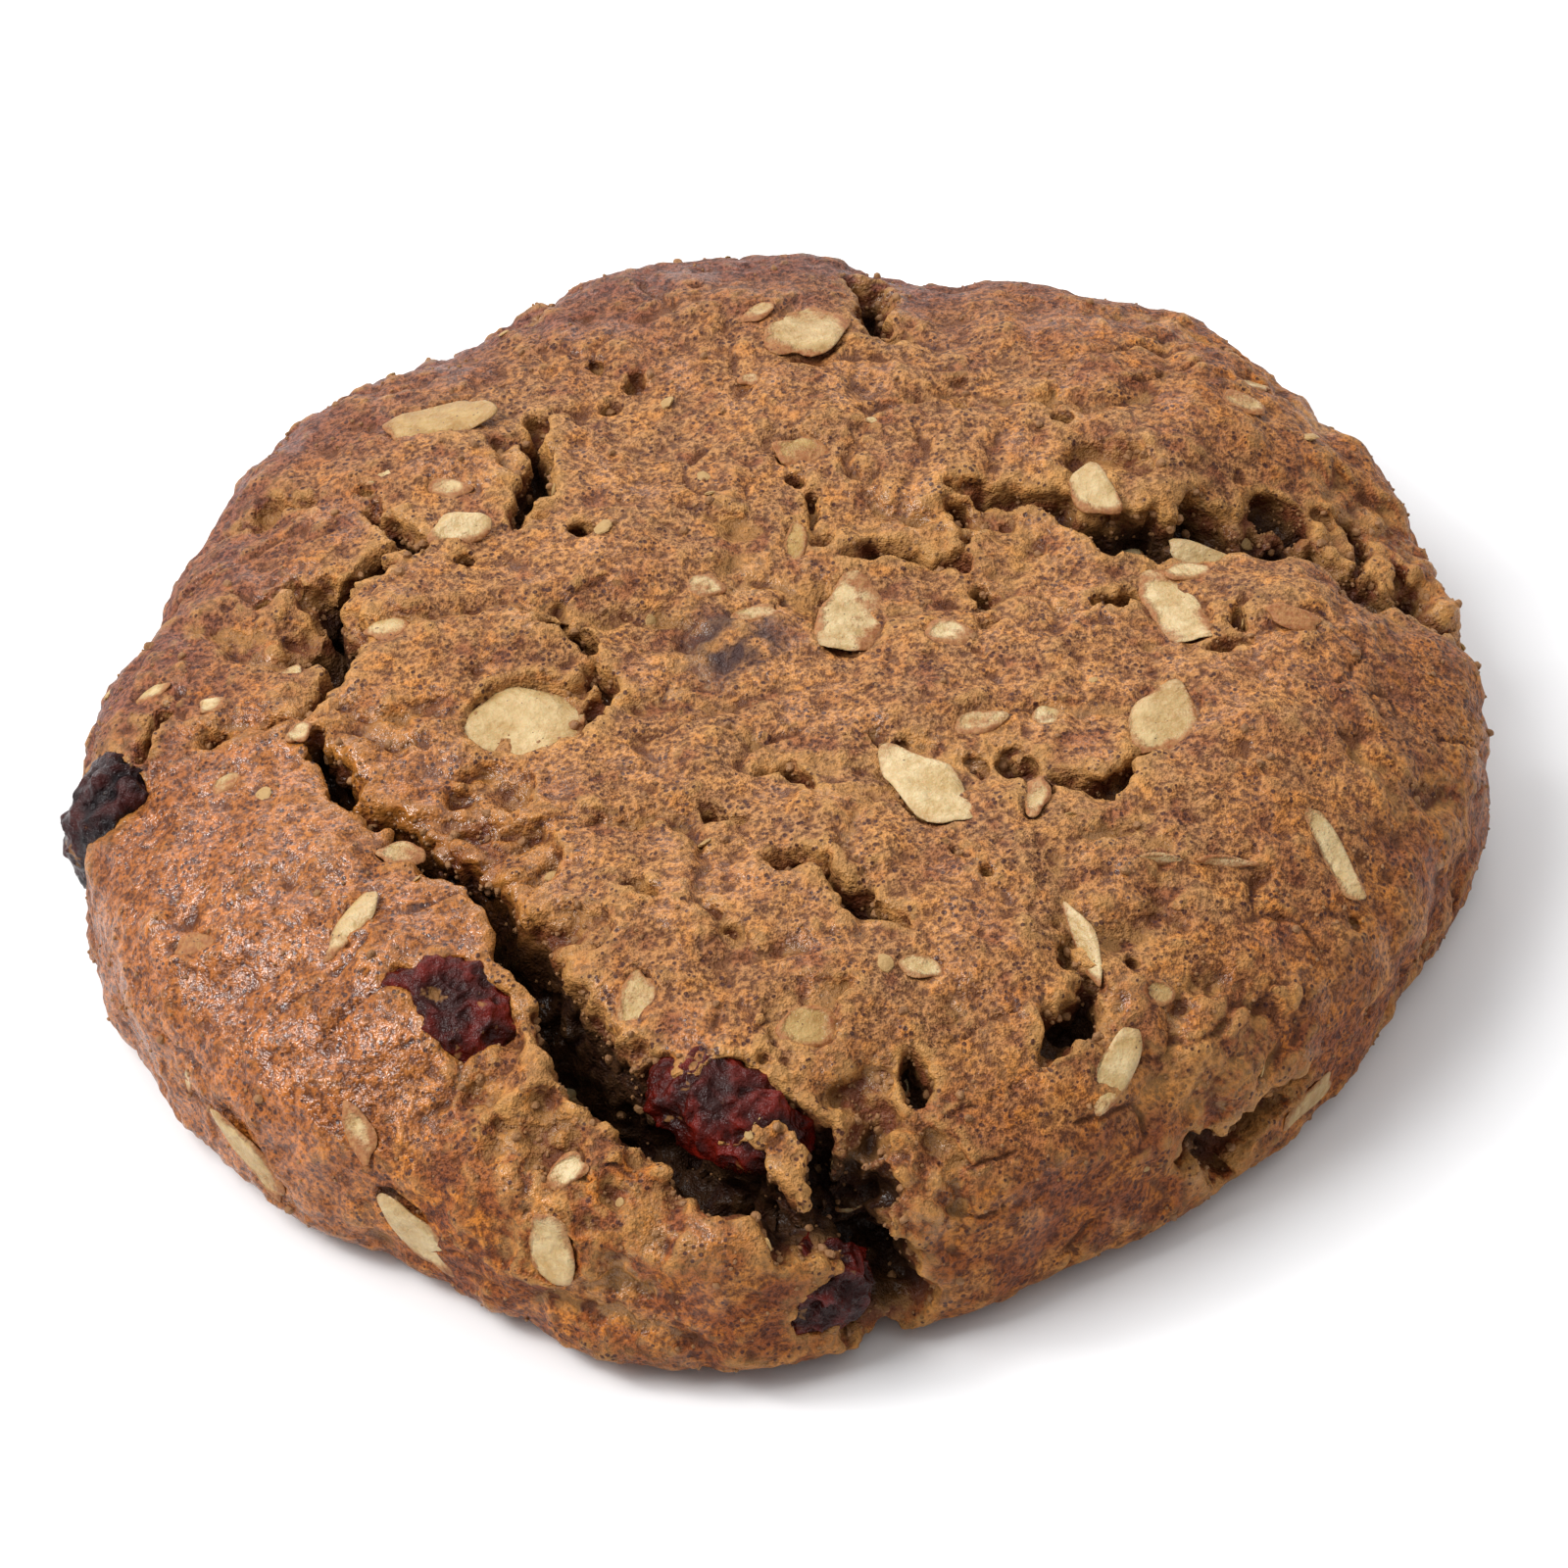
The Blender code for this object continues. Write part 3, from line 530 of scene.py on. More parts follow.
FLAKES = [Flake(*row) for row in (
    # The large flakes, which the solid dough holds as well
    (-15.4, -4.6, 7.4, 6.0, 20, 0.08, 0.35), (4.2, 4.2, 7.6, 4.4, 82, 0.65, 0.25),
    (8.3, -11.2, 7.8, 4.2, -58, 0.1, 0.0, 0, 0.1), (1.4, 30.6, 7.0, 5.0, 80, 0.5, 0.5),
    (-21.2, 22.6, 7.0, 3.8, 8, 0.25, 0.9), (-19.6, 11.4, 4.0, 2.4, 8, 0.2, 0.0, 25, 0.2),
    (1.2, 18.6, 3.6, 2.8, 5, 0.5, 0.9), (23.4, 5.2, 7.6, 3.8, 112, 0.55, 0.15),
    (22.3, -5.6, 6.0, 4.2, 62, 0.45, 0.5), (11.4, -5.6, 3.4, 2.2, 15, 0.45, 0.1),
    (32.0, -14.2, 6.6, 1.9, -60, 0.35, 0.2), (17.2, -23.2, 5.2, 1.5, -72, 0.1, 0.1, 50, 0.25),
    (18.6, -30.6, 5.6, 2.3, 64, 0.2, 0.2), (7.8, -25.6, 3.0, 1.8, -10, 0.4, 0.2),
    (1.4, -30.0, 3.8, 2.8, 10, 0.5, 0.9), (-8.3, -27.6, 3.8, 2.4, 80, 0.4, 0.6),
    (-17.0, -18.6, 5.0, 3.4, -60, 0.4, 0.7), (-22.0, -15.6, 3.0, 2.0, 20, 0.3, 0.3),
    (-24.8, -21.4, 4.6, 1.7, 50, 0.2, 0.3), (28.0, 24.2, 3.4, 2.0, -20, 0.4, 0.4),
    (18.8, 14.6, 4.4, 2.6, -60, 0.3, 0.3), (-23.7, 3.4, 3.0, 1.9, 0, 0.4, 0.3),
    (224, 5.4, 6.4, 2.8, -38, 0.5, 0.5, 0, 0, True),
    (240, 5.6, 6.4, 3.2, -48, 0.3, 0.2, 0, 0.1, True),
    (252, 9.6, 4.4, 3.2, -70, 0.4, 0.3, 0, 0, True),
    (322, 4.0, 4.6, 2.2, 15, 0.4, 0.7, 0, 0, True),
    # Smaller ones
    (0.7, 10.3, 3.4, 1.4, 85, 0.3, 1.0), (-29.7, 1.8, 2.2, 1.4, 60, 0.2, 0.1),
    (-24.6, 17.6, 2.2, 1.2, 20, 0.3, 0.1), (24.4, 8.6, 3.2, 2.0, 20, 0.3, 0.2),
    (27.0, 12.2, 7.0, 2.4, -8, 0.2, 0.25, 40, 1.6), (21.0, 12.6, 2.6, 1.8, 30, 0.3, 0.0, 20, 0.2),
    (29.0, 27.5, 2.4, 1.2, 10, 0.4, 0.2), (30.3, 3.0, 3.4, 1.8, -20, 0.6, 0.9),
    (15.5, -5.0, 2.2, 1.9, 40, 0.4, 0.0), (9.8, 2.0, 3.2, 2.4, -20, 0.6, 0.1),
    (14.6, -12.4, 3.8, 1.6, 80, 0.45, 0.2), (22.0, -17.0, 4.0, 0.9, 5, 0.4, 0.1, 60, 0.1),
    (25.4, -16.6, 3.6, 0.8, 2, 0.4, 0.1, 60, 0.1), (21.3, -25.6, 2.2, 1.7, 0, 0.5, 0.7),
    (6.8, -31.6, 2.2, 1.4, 80, 0.3, 0.1), (-36.0, -26.0, 2.4, 0.8, 80, 0.2, 0.2),
    (-34.0, -20.0, 3.2, 1.5, 0, 0.6, 0.9), (-37.5, 0.2, 2.6, 1.4, 0, 0.4, 0.3),
    (-33.8, -2.0, 1.8, 1.4, 30, 0.3, 0.1), (-28.5, -5.6, 2.0, 1.4, 70, 0.4, 0.2),
    (-32.8, -8.5, 2.4, 1.4, 40, 0.6, 0.4), (-4.8, 6.2, 2.4, 2.0, 0, 0.5, 0.1),
    (-1.8, 4.3, 3.4, 1.4, 15, 0.45, 0.3), (5.8, 21.0, 1.8, 0.8, -10, 0.1, 0.3),
    (-1.6, 31.8, 2.6, 1.6, 40, 0.4, 0.5), (-2.1, 25.7, 1.6, 1.2, 0, 0.4, 0.2),
    (-12.7, -28.6, 3.6, 2.2, 75, 0.3, 0.3), (-20.6, 15.8, 3.0, 1.6, -20, 0.5, 0.3),
    (234, 11.5, 3.6, 1.8, -40, 0.5, 0.3, 0, 0, True),
    (252, 13.4, 2.6, 1.8, 60, 0.3, 0.1, 0, 0.1, True), (7.0, -43.0, 2.2, 1.4, 0, 0.4, 0.3),
)]


class Fruit(NamedTuple):
    """A dried cranberry or raisin: place, depth of its middle, half lengths and turn."""

    name: str
    x: float
    y: float
    sink: float
    half: tuple
    turn: float
    slot: str
    on_side: bool = False


FRUITS = (
    Fruit("raisin_rim", 188, 9.6, 2.1, (4.8, 3.5, 2.8), 75, "raisin", True),
    Fruit("raisin_crack", -22.4, 11.4, 3.7, (2.6, 1.9, 1.7), -60, "raisin"),
    Fruit("cranberry_lobe", -19.0, -27.0, 1.35, (4.4, 2.9, 2.1), -35, "cranberry"),
    Fruit("cranberry_front", -3.2, -34.0, 1.6, (5.0, 2.9, 2.3), -28, "cranberry"),
    Fruit("cranberry_notch", 273, 6.0, 1.8, (3.3, 2.7, 2.2), 40, "cranberry", True),
)


LEAN = 7.0  # most degrees by which a flake leans along its length or its width
LEAN_SEED = 100
DROP_FROM = 8.0  # a flake falls to the crust from this far out


def fruit_frame(fruit):
    """The middle of a fruit, below the crust, and its axes."""
    centre, axes = frame_of(fruit)
    return centre - axes[2] * fruit.sink, axes


def settle(index, flake):
    """A flake's centre on the real crust, and its axes with its tilt and a little lean."""
    rng = np.random.default_rng(LEAN_SEED + index)
    centre, axes = frame_of(flake)
    start = Vector(centre + DROP_FROM * axes[2])
    crust = lump_skin.ray_cast(start, Vector(-axes[2]))[0]
    if crust is not None:
        centre = np.array(crust)
    along, across, out = axes
    roll, pitch = np.radians((flake.tilt + rng.uniform(-LEAN, LEAN), rng.uniform(-LEAN, LEAN)))
    along = along * np.cos(pitch) + out * np.sin(pitch)
    upright = np.cross(along, across)
    tilted = np.stack((
        along,
        across * np.cos(roll) + upright * np.sin(roll),
        upright * np.cos(roll) - across * np.sin(roll),
    ))
    return centre + out * flake.rise, tilted


flake_places = [settle(index, flake) for index, flake in enumerate(FLAKES)]
print("flakes:", len(FLAKES), "fruit:", len(FRUITS))

# %% [markdown]
# ## Seats and pockets
#
# The crust is pressed down under each flake and hollowed under each fruit, so that both lie in
# the dough and not on it. Where a flake is filmed over, dough laps onto its edge. A pocket's edge
# wanders in and out of the fruit's skin: in places a dark gap shows, in others dough laps over.

# %% Press the seats into the lump
SEAT_DEPTH = 0.12  # how far the crust sinks under a flake
MOAT_DEPTH = 0.35  # and how much more where the flake's raised edge leaves a gap
LAP_HEIGHT = 1.1  # how high dough laps onto a flake that is all filmed over
SEAT_REACH = 1.5  # crust farther than this above or below a flake is left alone
ON_EDGE = 15  # flakes tilted by more degrees than this cut the crust, and get no seat
RAISED = 0.3  # an edge this much higher or lower than the crust is wholly free, or covered
POCKET_SLACK = -0.02  # pocket over fruit, as a share of the fruit's size
POCKET_WANDER = 0.16  # and how far that wanders, as the same share
LAP = 0.15  # crust that lies higher than this over the fruit stays, and covers it


def press_seat(points, centre, axes, flake):
    """Sinks the crust under one flake, deeper beside its raised edge."""
    lying = frame_of(flake)[1]
    local = (points - centre) @ lying.T
    size = np.array([flake.length, flake.width]) / 2
    oval = np.hypot(local[:, 0] / size[0], local[:, 1] / size[1])
    slope = -(lying[:2] @ axes[2]) / (lying[2] @ axes[2])
    raised = np.clip((local[:, :2] @ slope) / RAISED, 0, 1)
    depth = SEAT_DEPTH + MOAT_DEPTH * raised * smoothstep(0.6, 0.9, oval)
    lap = smoothstep(0.3, 0.95, oval) * (0.25 + noise(points + 60, 2.6)) * (1 - raised)
    depth -= LAP_HEIGHT * flake.film * np.maximum(lap, 0)
    inside = (oval < 1.1) & (np.abs(local[:, 2]) < SEAT_REACH) & (local[:, 2] > -depth)
    drop = np.zeros(len(points))
    soft = np.clip((1.0 + 0.1 * raised - oval) / 0.1, 0, 1)
    drop[inside] = ((local[:, 2] + depth) * soft)[inside]
    return points - lying[2] * drop[:, None]


def press_pocket(points, fruit):
    """Hollows the crust down to just over one fruit's underside."""
    centre, axes = fruit_frame(fruit)
    local = (points - centre) @ axes.T
    near = np.flatnonzero((np.abs(local) < np.array(fruit.half) * 1.5 + 1.5).all(1))
    grown = 1 + POCKET_SLACK + POCKET_WANDER * noise(points[near] + 3, 2.2)
    size = np.array(fruit.half) * grown[:, None]
    level = np.sum((local[near, :2] / size[:, :2]) ** 2, axis=1)
    floor = -size[:, 2] * np.sqrt(np.clip(1 - level, 0, 1))
    sunk = (level < 1) & (local[near, 2] > floor) & (local[near, 2] < LAP - floor)
    moved = points.copy()
    change = np.where(sunk, floor - local[near, 2], 0.0)
    moved[near] += axes[2] * change[:, None]
    return moved


seated = lump
for flake, (centre, axes) in zip(FLAKES, flake_places):
    if flake.tilt < ON_EDGE:
        seated = press_seat(seated, centre, axes, flake)
for fruit in FRUITS:
    seated = press_pocket(seated, fruit)
print("moved by seats and pockets:", int((np.abs(seated - lump).max(1) > 0.01).sum()), "points")

# %% [markdown]
# ## Even triangles, crumb, and the last thinning
#
# Crack walls are stretched by now. A voxel remesh lays even faces over the whole skin and merges
# what folded over itself. Then the crumb goes on: small lumps along the normals, coarse inside
# the cracks and fine on the crust. Last, the mesh is thinned where it is smooth. Four values
# stay on its points for the colours: how deep each lies below the crust, how far it stands proud
# of what is near it and of the wider swell round it, and how crumbly it is.

# %% Remesh, roughen and thin the dough
VOXEL = 0.28
# Lumps of crumb: their length, their height on the crust, and inside the cracks
CRUMB = ((2.6, 0.17, 0.35), (1.25, 0.12, 0.45), (0.62, 0.13, 0.36))
SPLIT_SPACING = 3.6  # hairline splits in the crust
SPLIT_WIDTH = 0.07
SPLIT_DEPTH = 0.35
SPLIT_GRAIN = np.array([[0.45, -0.55, 0], [0.25, 0.95, 0], [0, 0, 1]])  # they run longer one way
NO_CRUMB = 1.5  # the crumb fades out below this height
DOUGH_TRIANGLES = 195_000  # triangles of the thinned dough; a piece stays under 200,000
NEAR_ROUNDS = 6  # rounds of averaging for the shape of about one millimetre round a point
WIDE_ROUNDS = 50  # and of about three millimetres


def mesh_object(name, points, faces):
    """A mesh object from points in metres and a list or an array of faces."""
    mesh = bpy.data.meshes.new(name)
    mesh.from_pydata(points.tolist(), [], faces if isinstance(faces, list) else faces.tolist())
    made = bpy.data.objects.new(name, mesh)
    bpy.context.scene.collection.objects.link(made)
    return made


def applied(obj):
    """Replaces the object's mesh by the one that its modifiers make."""
    graph = bpy.context.evaluated_depsgraph_get()
    mesh = bpy.data.meshes.new_from_object(obj.evaluated_get(graph))
    obj.modifiers.clear()
    obj.data = mesh


def read(items, what, size=3):
    """One property of all the items of a mesh, as rows of this many numbers."""
    values = np.empty(len(items) * size, np.float32)
    items.foreach_get(what, values)
    return values.reshape(-1, size).astype(float)


def set_value(mesh, name, values):
    """Keeps one number for each point, for the finishes and the scatter to read."""
    layer = mesh.attributes.get(name) or mesh.attributes.new(name, "FLOAT", "POINT")
    layer.data.foreach_set("value", np.asarray(values, np.float32))


dough = mesh_object("dough_skin", seated, lump_faces)
remesh = dough.modifiers.new("even", "REMESH")
remesh.mode = "VOXEL"
remesh.voxel_size = VOXEL
applied(dough)
points = read(dough.data.vertices, "co")
normals = read(dough.data.vertices, "normal")
print("even faces:", len(dough.data.polygons))

nearest = [whole_skin.find_nearest(Vector(p))[:2] for p in points]
depths = np.array([(where - Vector(p)).dot(out) for p, (where, out) in zip(points, nearest)])
depths = np.maximum(depths, 0)
crumbly = smoothstep(0.4, 1.3, depths) * (0.65 + 0.35 * noise(points + 2, 3.0))
lift = np.zeros(len(points))
for length, on_crust, in_crack in CRUMB:
    height = on_crust + (in_crack - on_crust) * crumbly
    lift += height * fine_noise(points + length, length)
split = smoothstep(0.15, 0.4, noise(points + 55, 6.0))
wandered = points + 0.5 * noise(points, 1.4)[:, None]
seam = fine_noise(wandered @ SPLIT_GRAIN, SPLIT_SPACING) / SPLIT_WIDTH
lift -= split * SPLIT_DEPTH * np.exp(-(seam**2))
lift *= smoothstep(0.0, NO_CRUMB, points[:, 2])
points += normals * lift[:, None]
points[:, 2] = np.where(points[:, 2] < FOOT_FLAT + 0.1, 0.0, points[:, 2])

edges = np.empty(len(dough.data.edges) * 2, np.int32)
dough.data.edges.foreach_get("vertices", edges)
edges = edges.reshape(-1, 2)
links = np.bincount(edges.ravel(), minlength=len(points))
smooth = points.copy()
stands = {}
for count in range(1, WIDE_ROUNDS + 1):
    total = np.stack([
        np.bincount(edges[:, 0], smooth[edges[:, 1], k], len(points))
        + np.bincount(edges[:, 1], smooth[edges[:, 0], k], len(points))
        for k in range(3)
    ], axis=1)
    smooth = total / np.maximum(links, 1)[:, None]
    if count in (NEAR_ROUNDS, WIDE_ROUNDS):
        stands[count] = np.sum((points - smooth) * normals, axis=1)
proud, swell = stands.values()

dough.data.vertices.foreach_set("co", ((points - MIDDLE) * MM).astype(np.float32).ravel())
for word, values in (("deep", depths), ("proud", proud), ("swell", swell), ("crumbly", crumbly)):
    set_value(dough.data, word, values)
    print(word, np.percentile(values, (2, 50, 98)).round(3))
dough.data.update()


def triangles(mesh):
    return sum(len(p.vertices) - 2 for p in mesh.polygons)


even_triangles = triangles(dough.data)
thin = dough.modifiers.new("thin", "DECIMATE")
thin.ratio = DOUGH_TRIANGLES / even_triangles
applied(dough)
dough.data.validate()
dough.data.shade_smooth()
print("dough:", even_triangles, "thinned to", triangles(dough.data))

# %% [markdown]
# ## The oats as plates
#
# Rings of points from the middle out, on a top and an under side that meet at the edge. The
# outline wobbles, the plate curls a little, and a crease runs down its length.

# %% Build the oat flakes
RINGS = (0.0, 0.25, 0.5, 0.72, 0.88, 0.97, 1.0)
SIDES = 36
FLAKE_THICKNESS = 0.5
SMALL_LENGTH = 4.2
SMALL_FILM = 0.2  # flakes shorter than that hide under more dough
CREASE = 0.05  # depth of the crease, as a share of the thickness
OUTLINE_WAVES = ((2, 0.07), (3, 0.12), (4, 0.09), (5, 0.05), (7, 0.03), (11, 0.012))


def flake_mesh(flake, index, centre, axes):
    """Points, faces, plate coordinates and dip below the crust of one flake."""
    rng = np.random.default_rng(SEED + index)
    turns = np.arange(SIDES) / SIDES * 2 * np.pi
    outline = 1 + sum(
        rng.uniform(0.3, 1) * size * np.sin(wave * turns + rng.uniform(0, 6.3))
        for wave, size in OUTLINE_WAVES
    )
    half = np.array([flake.length, flake.width]) / 2
    bend = rng.uniform(-0.02, 0.03)
    thick = FLAKE_THICKNESS * min(1.0, 0.45 + flake.width / 6)
    rows = []
    for side in (1, -1):
        for ring in RINGS if side > 0 else RINGS[-2::-1]:
            count = SIDES if ring else 1
            x = half[0] * ring * np.cos(turns[:count]) * outline[:count]
            y = half[1] * ring * np.sin(turns[:count]) * outline[:count]
            body = thick / 2 * (1 - ring**8) * side
            if side > 0:
                groove = np.exp(-((y / (0.16 * flake.width)) ** 2)) * (1 - ring**2)
                body = body - CREASE * thick * groove
            z = body + bend * (x**2 - y**2) + 0.03 * flake.width * np.sin(1.3 * x + index) * ring
            rows.append(np.column_stack((x, y, np.broadcast_to(z, x.shape))))
    local = np.concatenate(rows)
    local[:, 2] += 0.05 * fine_noise(local + 17 * index, 0.9) * np.sign(local[:, 2] + 1e-9)
    starts = np.cumsum([0] + [len(row) for row in rows])
    faces = []
    for k in range(len(rows) - 1):
        here, there = starts[k], starts[k + 1]
        for j in range(SIDES):
            after = (j + 1) % SIDES
            if len(rows[k]) == 1:
                faces.append((here, there + j, there + after))
            elif len(rows[k + 1]) == 1:
                faces.append((here + j, there, here + after))
            else:
                faces.append((here + j, there + j, there + after, here + after))
    plate = local[:, :2] / half
    settled = centre + local @ axes
    lying = frame_of(flake)[1]
    dip = -((settled - centre) @ lying[2]) / RAISED
    return settled, faces, plate, dip


def join_flakes(name, flakes, places):
    """All flakes as one object, with the values on its points that the oats' finish reads."""
    parts = []
    faces = []
    count = 0
    for index, (flake, (centre, axes)) in enumerate(zip(flakes, places)):
        points, own_faces, plate, dip = flake_mesh(flake, index, centre, axes)
        film = flake.film + SMALL_FILM * (flake.length < SMALL_LENGTH)
        same = [np.full(len(points), value) for value in (film, flake.gold)]
        parts.append((points, *same, dip, np.linalg.norm(plate, axis=1)))
        faces += [tuple(count + k for k in face) for face in own_faces]
        count += len(points)
    points, *values = (np.concatenate(rows) for rows in zip(*parts))
    made = mesh_object(name, (points - MIDDLE) * MM, faces)
    for word, numbers in zip(("film", "gold", "dip", "edge"), values):
        set_value(made.data, word, numbers)
    made.data.shade_smooth()
    return made


oats = join_flakes("oat_flakes", FLAKES, flake_places)
print("oat flakes:", len(oats.data.polygons), "faces")

# %% [markdown]
# ## The dried fruit
#
# A dried berry shrinks and its skin folds. Folds are ridged noise: the noise's absolute value has
# sharp creases where it passes through zero.

# %% Build the fruit
FRUIT_FOLDS = ((2.6, 0.40), (1.3, 0.26), (0.6, 0.13))  # length and depth of the folds
FRUIT_DETAIL = 6  # subdivisions of the ball, for 20,480 triangles


def fruit_object(fruit):
    """One fruit: a ball drawn out to its size, with its skin folded."""
    directions, faces = ball(FRUIT_DETAIL)
    centre, axes = fruit_frame(fruit)
    local = directions * np.array(fruit.half)
    wander = local + 0.5 * np.stack([noise(local + 11 * k, 1.8) for k in range(3)], axis=1)
    folds = np.zeros(len(local))
    for length, deep in FRUIT_FOLDS:
        folds += deep * (1 - 2.4 * np.abs(noise(wander + fruit.x, length)))
    skin = local + directions * (folds - 0.15)[:, None]
    made = mesh_object(fruit.name + "_skin", (centre + skin @ axes - MIDDLE) * MM, faces)
    set_value(made.data, "fold", folds)
    made.data.shade_smooth()
    return made


fruit_pieces = {fruit.name: fruit_object(fruit) for fruit in FRUITS}
print("fruit:", {name: len(piece.data.polygons) for name, piece in fruit_pieces.items()})

# %% [markdown]
# ## Crumbs and oat scraps by Geometry Nodes
#
# Broken dough is granular. One node tree scatters loose crumbs over the dough, thick where the
# crumbly value is high, and turns and sizes each at random. Its result is realized to a plain
# mesh. Every tree in this file, here and in the finishes, is made by one small function that
# takes a node's type, its settings and its inputs.


# %% Scatter crumbs
def add_node(tree, kind, settings=None, inputs=None):
    """A new node. Each input is a plain value, or a socket that is linked to it."""
    made = tree.nodes.new(kind)
    for key, value in (settings or {}).items():
        setattr(made, key, value)
    for key, value in (inputs or {}).items():
        source = getattr(value, "socket", value)
        if isinstance(source, bpy.types.NodeSocket):
            tree.links.new(source, made.inputs[key])
        else:
            made.inputs[key].default_value = source
    return made


GRAIN_INPUTS = (  # our word for each input, its name in the tree, its kind and its default
    ("per_m2", "Grains per square metre", "Float", 1e6), ("kinds", "Kinds", "Collection", None),
    ("smallest", "Smallest", "Float", 0.5), ("largest", "Largest", "Float", 1.0),
    ("tumble", "Tumble", "Float", 3.0), ("seed", "Seed", "Int", 0),
)


def scatter_tree(name, material):
    """Geometry Nodes: grains picked from a collection, on the faces, by a named density."""
    tree = bpy.data.node_groups.new(name, "GeometryNodeTree")
    for way in ("OUTPUT", "INPUT"):
        tree.interface.new_socket("Geometry", in_out=way, socket_type="NodeSocketGeometry")
    ids = {}
    for word, title, kind, value in GRAIN_INPUTS:
        socket = tree.interface.new_socket(title, in_out="INPUT", socket_type="NodeSocket" + kind)
        if value is not None:
            socket.default_value = value
        ids[word] = socket.identifier

    def node(kind, settings=None, inputs=None):
        return add_node(tree, kind, settings, inputs).outputs

    start = node("NodeGroupInput")
    named = {"Name": "grain_density"}
    where = node("GeometryNodeInputNamedAttribute", {"data_type": "FLOAT"}, named)
    amount = {0: where["Attribute"], 1: start["Grains per square metre"]}
    density = node("ShaderNodeMath", {"operation": "MULTIPLY"}, amount)
    bed = {"Mesh": start["Geometry"], "Density": density[0], "Seed": start["Seed"]}
    points = node("GeometryNodeDistributePointsOnFaces", None, bed)
    each = {"Separate Children": True, "Reset Children": True, "Collection": start["Kinds"]}
    kinds = node("GeometryNodeCollectionInfo", None, each)
    sizes = {2: start["Smallest"], 3: start["Largest"], "Seed": start["Seed"]}
    size = node("FunctionNodeRandomValue", {"data_type": "FLOAT"}, sizes)
    # a grain tips by up to Tumble radians each way, and turns all the way round
    back = node("ShaderNodeMath", {"operation": "MULTIPLY"}, {0: start["Tumble"], 1: -1})
    tip = start["Tumble"]
    least = node("ShaderNodeCombineXYZ", None, {0: back[0], 1: back[0]})
    most = node("ShaderNodeCombineXYZ", None, {0: tip, 1: tip, 2: math.tau})
    turns = {0: least[0], 1: most[0]}
    turn = node("FunctionNodeRandomValue", {"data_type": "FLOAT_VECTOR"}, turns)
    lying = {"Rotation": points["Rotation"], "Rotate By": turn[0]}
    lie = node("FunctionNodeRotateRotation", {"rotation_space": "LOCAL"}, lying)
    grains = {"Points": points["Points"], "Instance": kinds[0], "Pick Instance": True}
    grains |= {"Rotation": lie[0], "Scale": size[1]}
    placed = node("GeometryNodeInstanceOnPoints", None, grains)
    real = node("GeometryNodeRealizeInstances", None, {0: placed[0]})
    paint = node("GeometryNodeSetMaterial", None, {0: real[0], "Material": material})
    node("NodeGroupOutput", None, {0: paint[0]})
    return tree, ids


def grain_kinds(name, count, subdivisions, flatness):
    """A collection of lumpy grains of about one millimetre."""
    kinds = bpy.data.collections.new(name)
    for k in range(count):
        points, faces = ball(subdivisions)
        points = points * (1 + 0.28 * fine_noise(points + 7 * k, 0.8))[:, None]
        points *= np.array([1.0, 0.8, flatness]) * 0.5 * MM
        grain = mesh_object(f"{name}_{k}", points, faces)
        bpy.context.scene.collection.objects.unlink(grain)
        kinds.objects.link(grain)
    return kinds


def scatter(name, density, kinds, material, **values):
    """Runs the tree on a copy of the dough and returns the grains as a plain mesh."""
    bed = bpy.data.objects.new(name, dough.data.copy())
    bpy.context.scene.collection.objects.link(bed)
    set_value(bed.data, "grain_density", density)
    tree, ids = scatter_tree(name + "_tree", material)
    step = bed.modifiers.new("scatter", "NODES")
    step.node_group = tree
    step[ids["kinds"]] = kinds
    for key, value in values.items():
        step[ids[key]] = value
    applied(bed)
    for grain in list(kinds.objects):
        bpy.data.objects.remove(grain)
    bpy.data.collections.remove(kinds)
    print(name, len(bed.data.polygons), "faces")
    return bed


# %% [markdown]
# ## Finishes
#
# Shader maths reads best as plain arithmetic. One small class wraps a socket, so that `a * b + 1`
# builds the Math nodes itself.


# %% Arithmetic on sockets
class Value:
    """An output socket that can be used in plain arithmetic."""

    def __init__(self, tree, socket):
        self.tree = tree
        self.socket = socket

    def math(self, operation, *others, swap=False):
        terms = (*others, self) if swap else (self, *others)
        inputs = dict(enumerate(terms))
        node = add_node(self.tree, "ShaderNodeMath", {"operation": operation}, inputs)
        return Value(self.tree, node.outputs[0])

    def __add__(self, other):
        return self.math("ADD", other)

    __radd__ = __add__

    def __sub__(self, other):
        return self.math("SUBTRACT", other)

    def __rsub__(self, other):
        return self.math("SUBTRACT", other, swap=True)

    def __mul__(self, other):
        return self.math("MULTIPLY", other)

    __rmul__ = __mul__

    def __pow__(self, other):
        return self.math("POWER", other)

    def at_most(self, other):
        return self.math("MINIMUM", other)

    def at_least(self, other):
        return self.math("MAXIMUM", other)

    def ramp(self, low, high, start=0.0, end=1.0):
        """Eases from start to end as the value goes from low to high."""
        inputs = dict(enumerate((self, low, high, start, end)))
        eased = {"interpolation_type": "SMOOTHSTEP"}
        node = add_node(self.tree, "ShaderNodeMapRange", eased, inputs)
        return Value(self.tree, node.outputs[0])


def socket_name(word):
    """The shader's name for a keyword: base_color becomes Base Color."""
    return word.replace("_", " ").title().replace("Ior", "IOR")


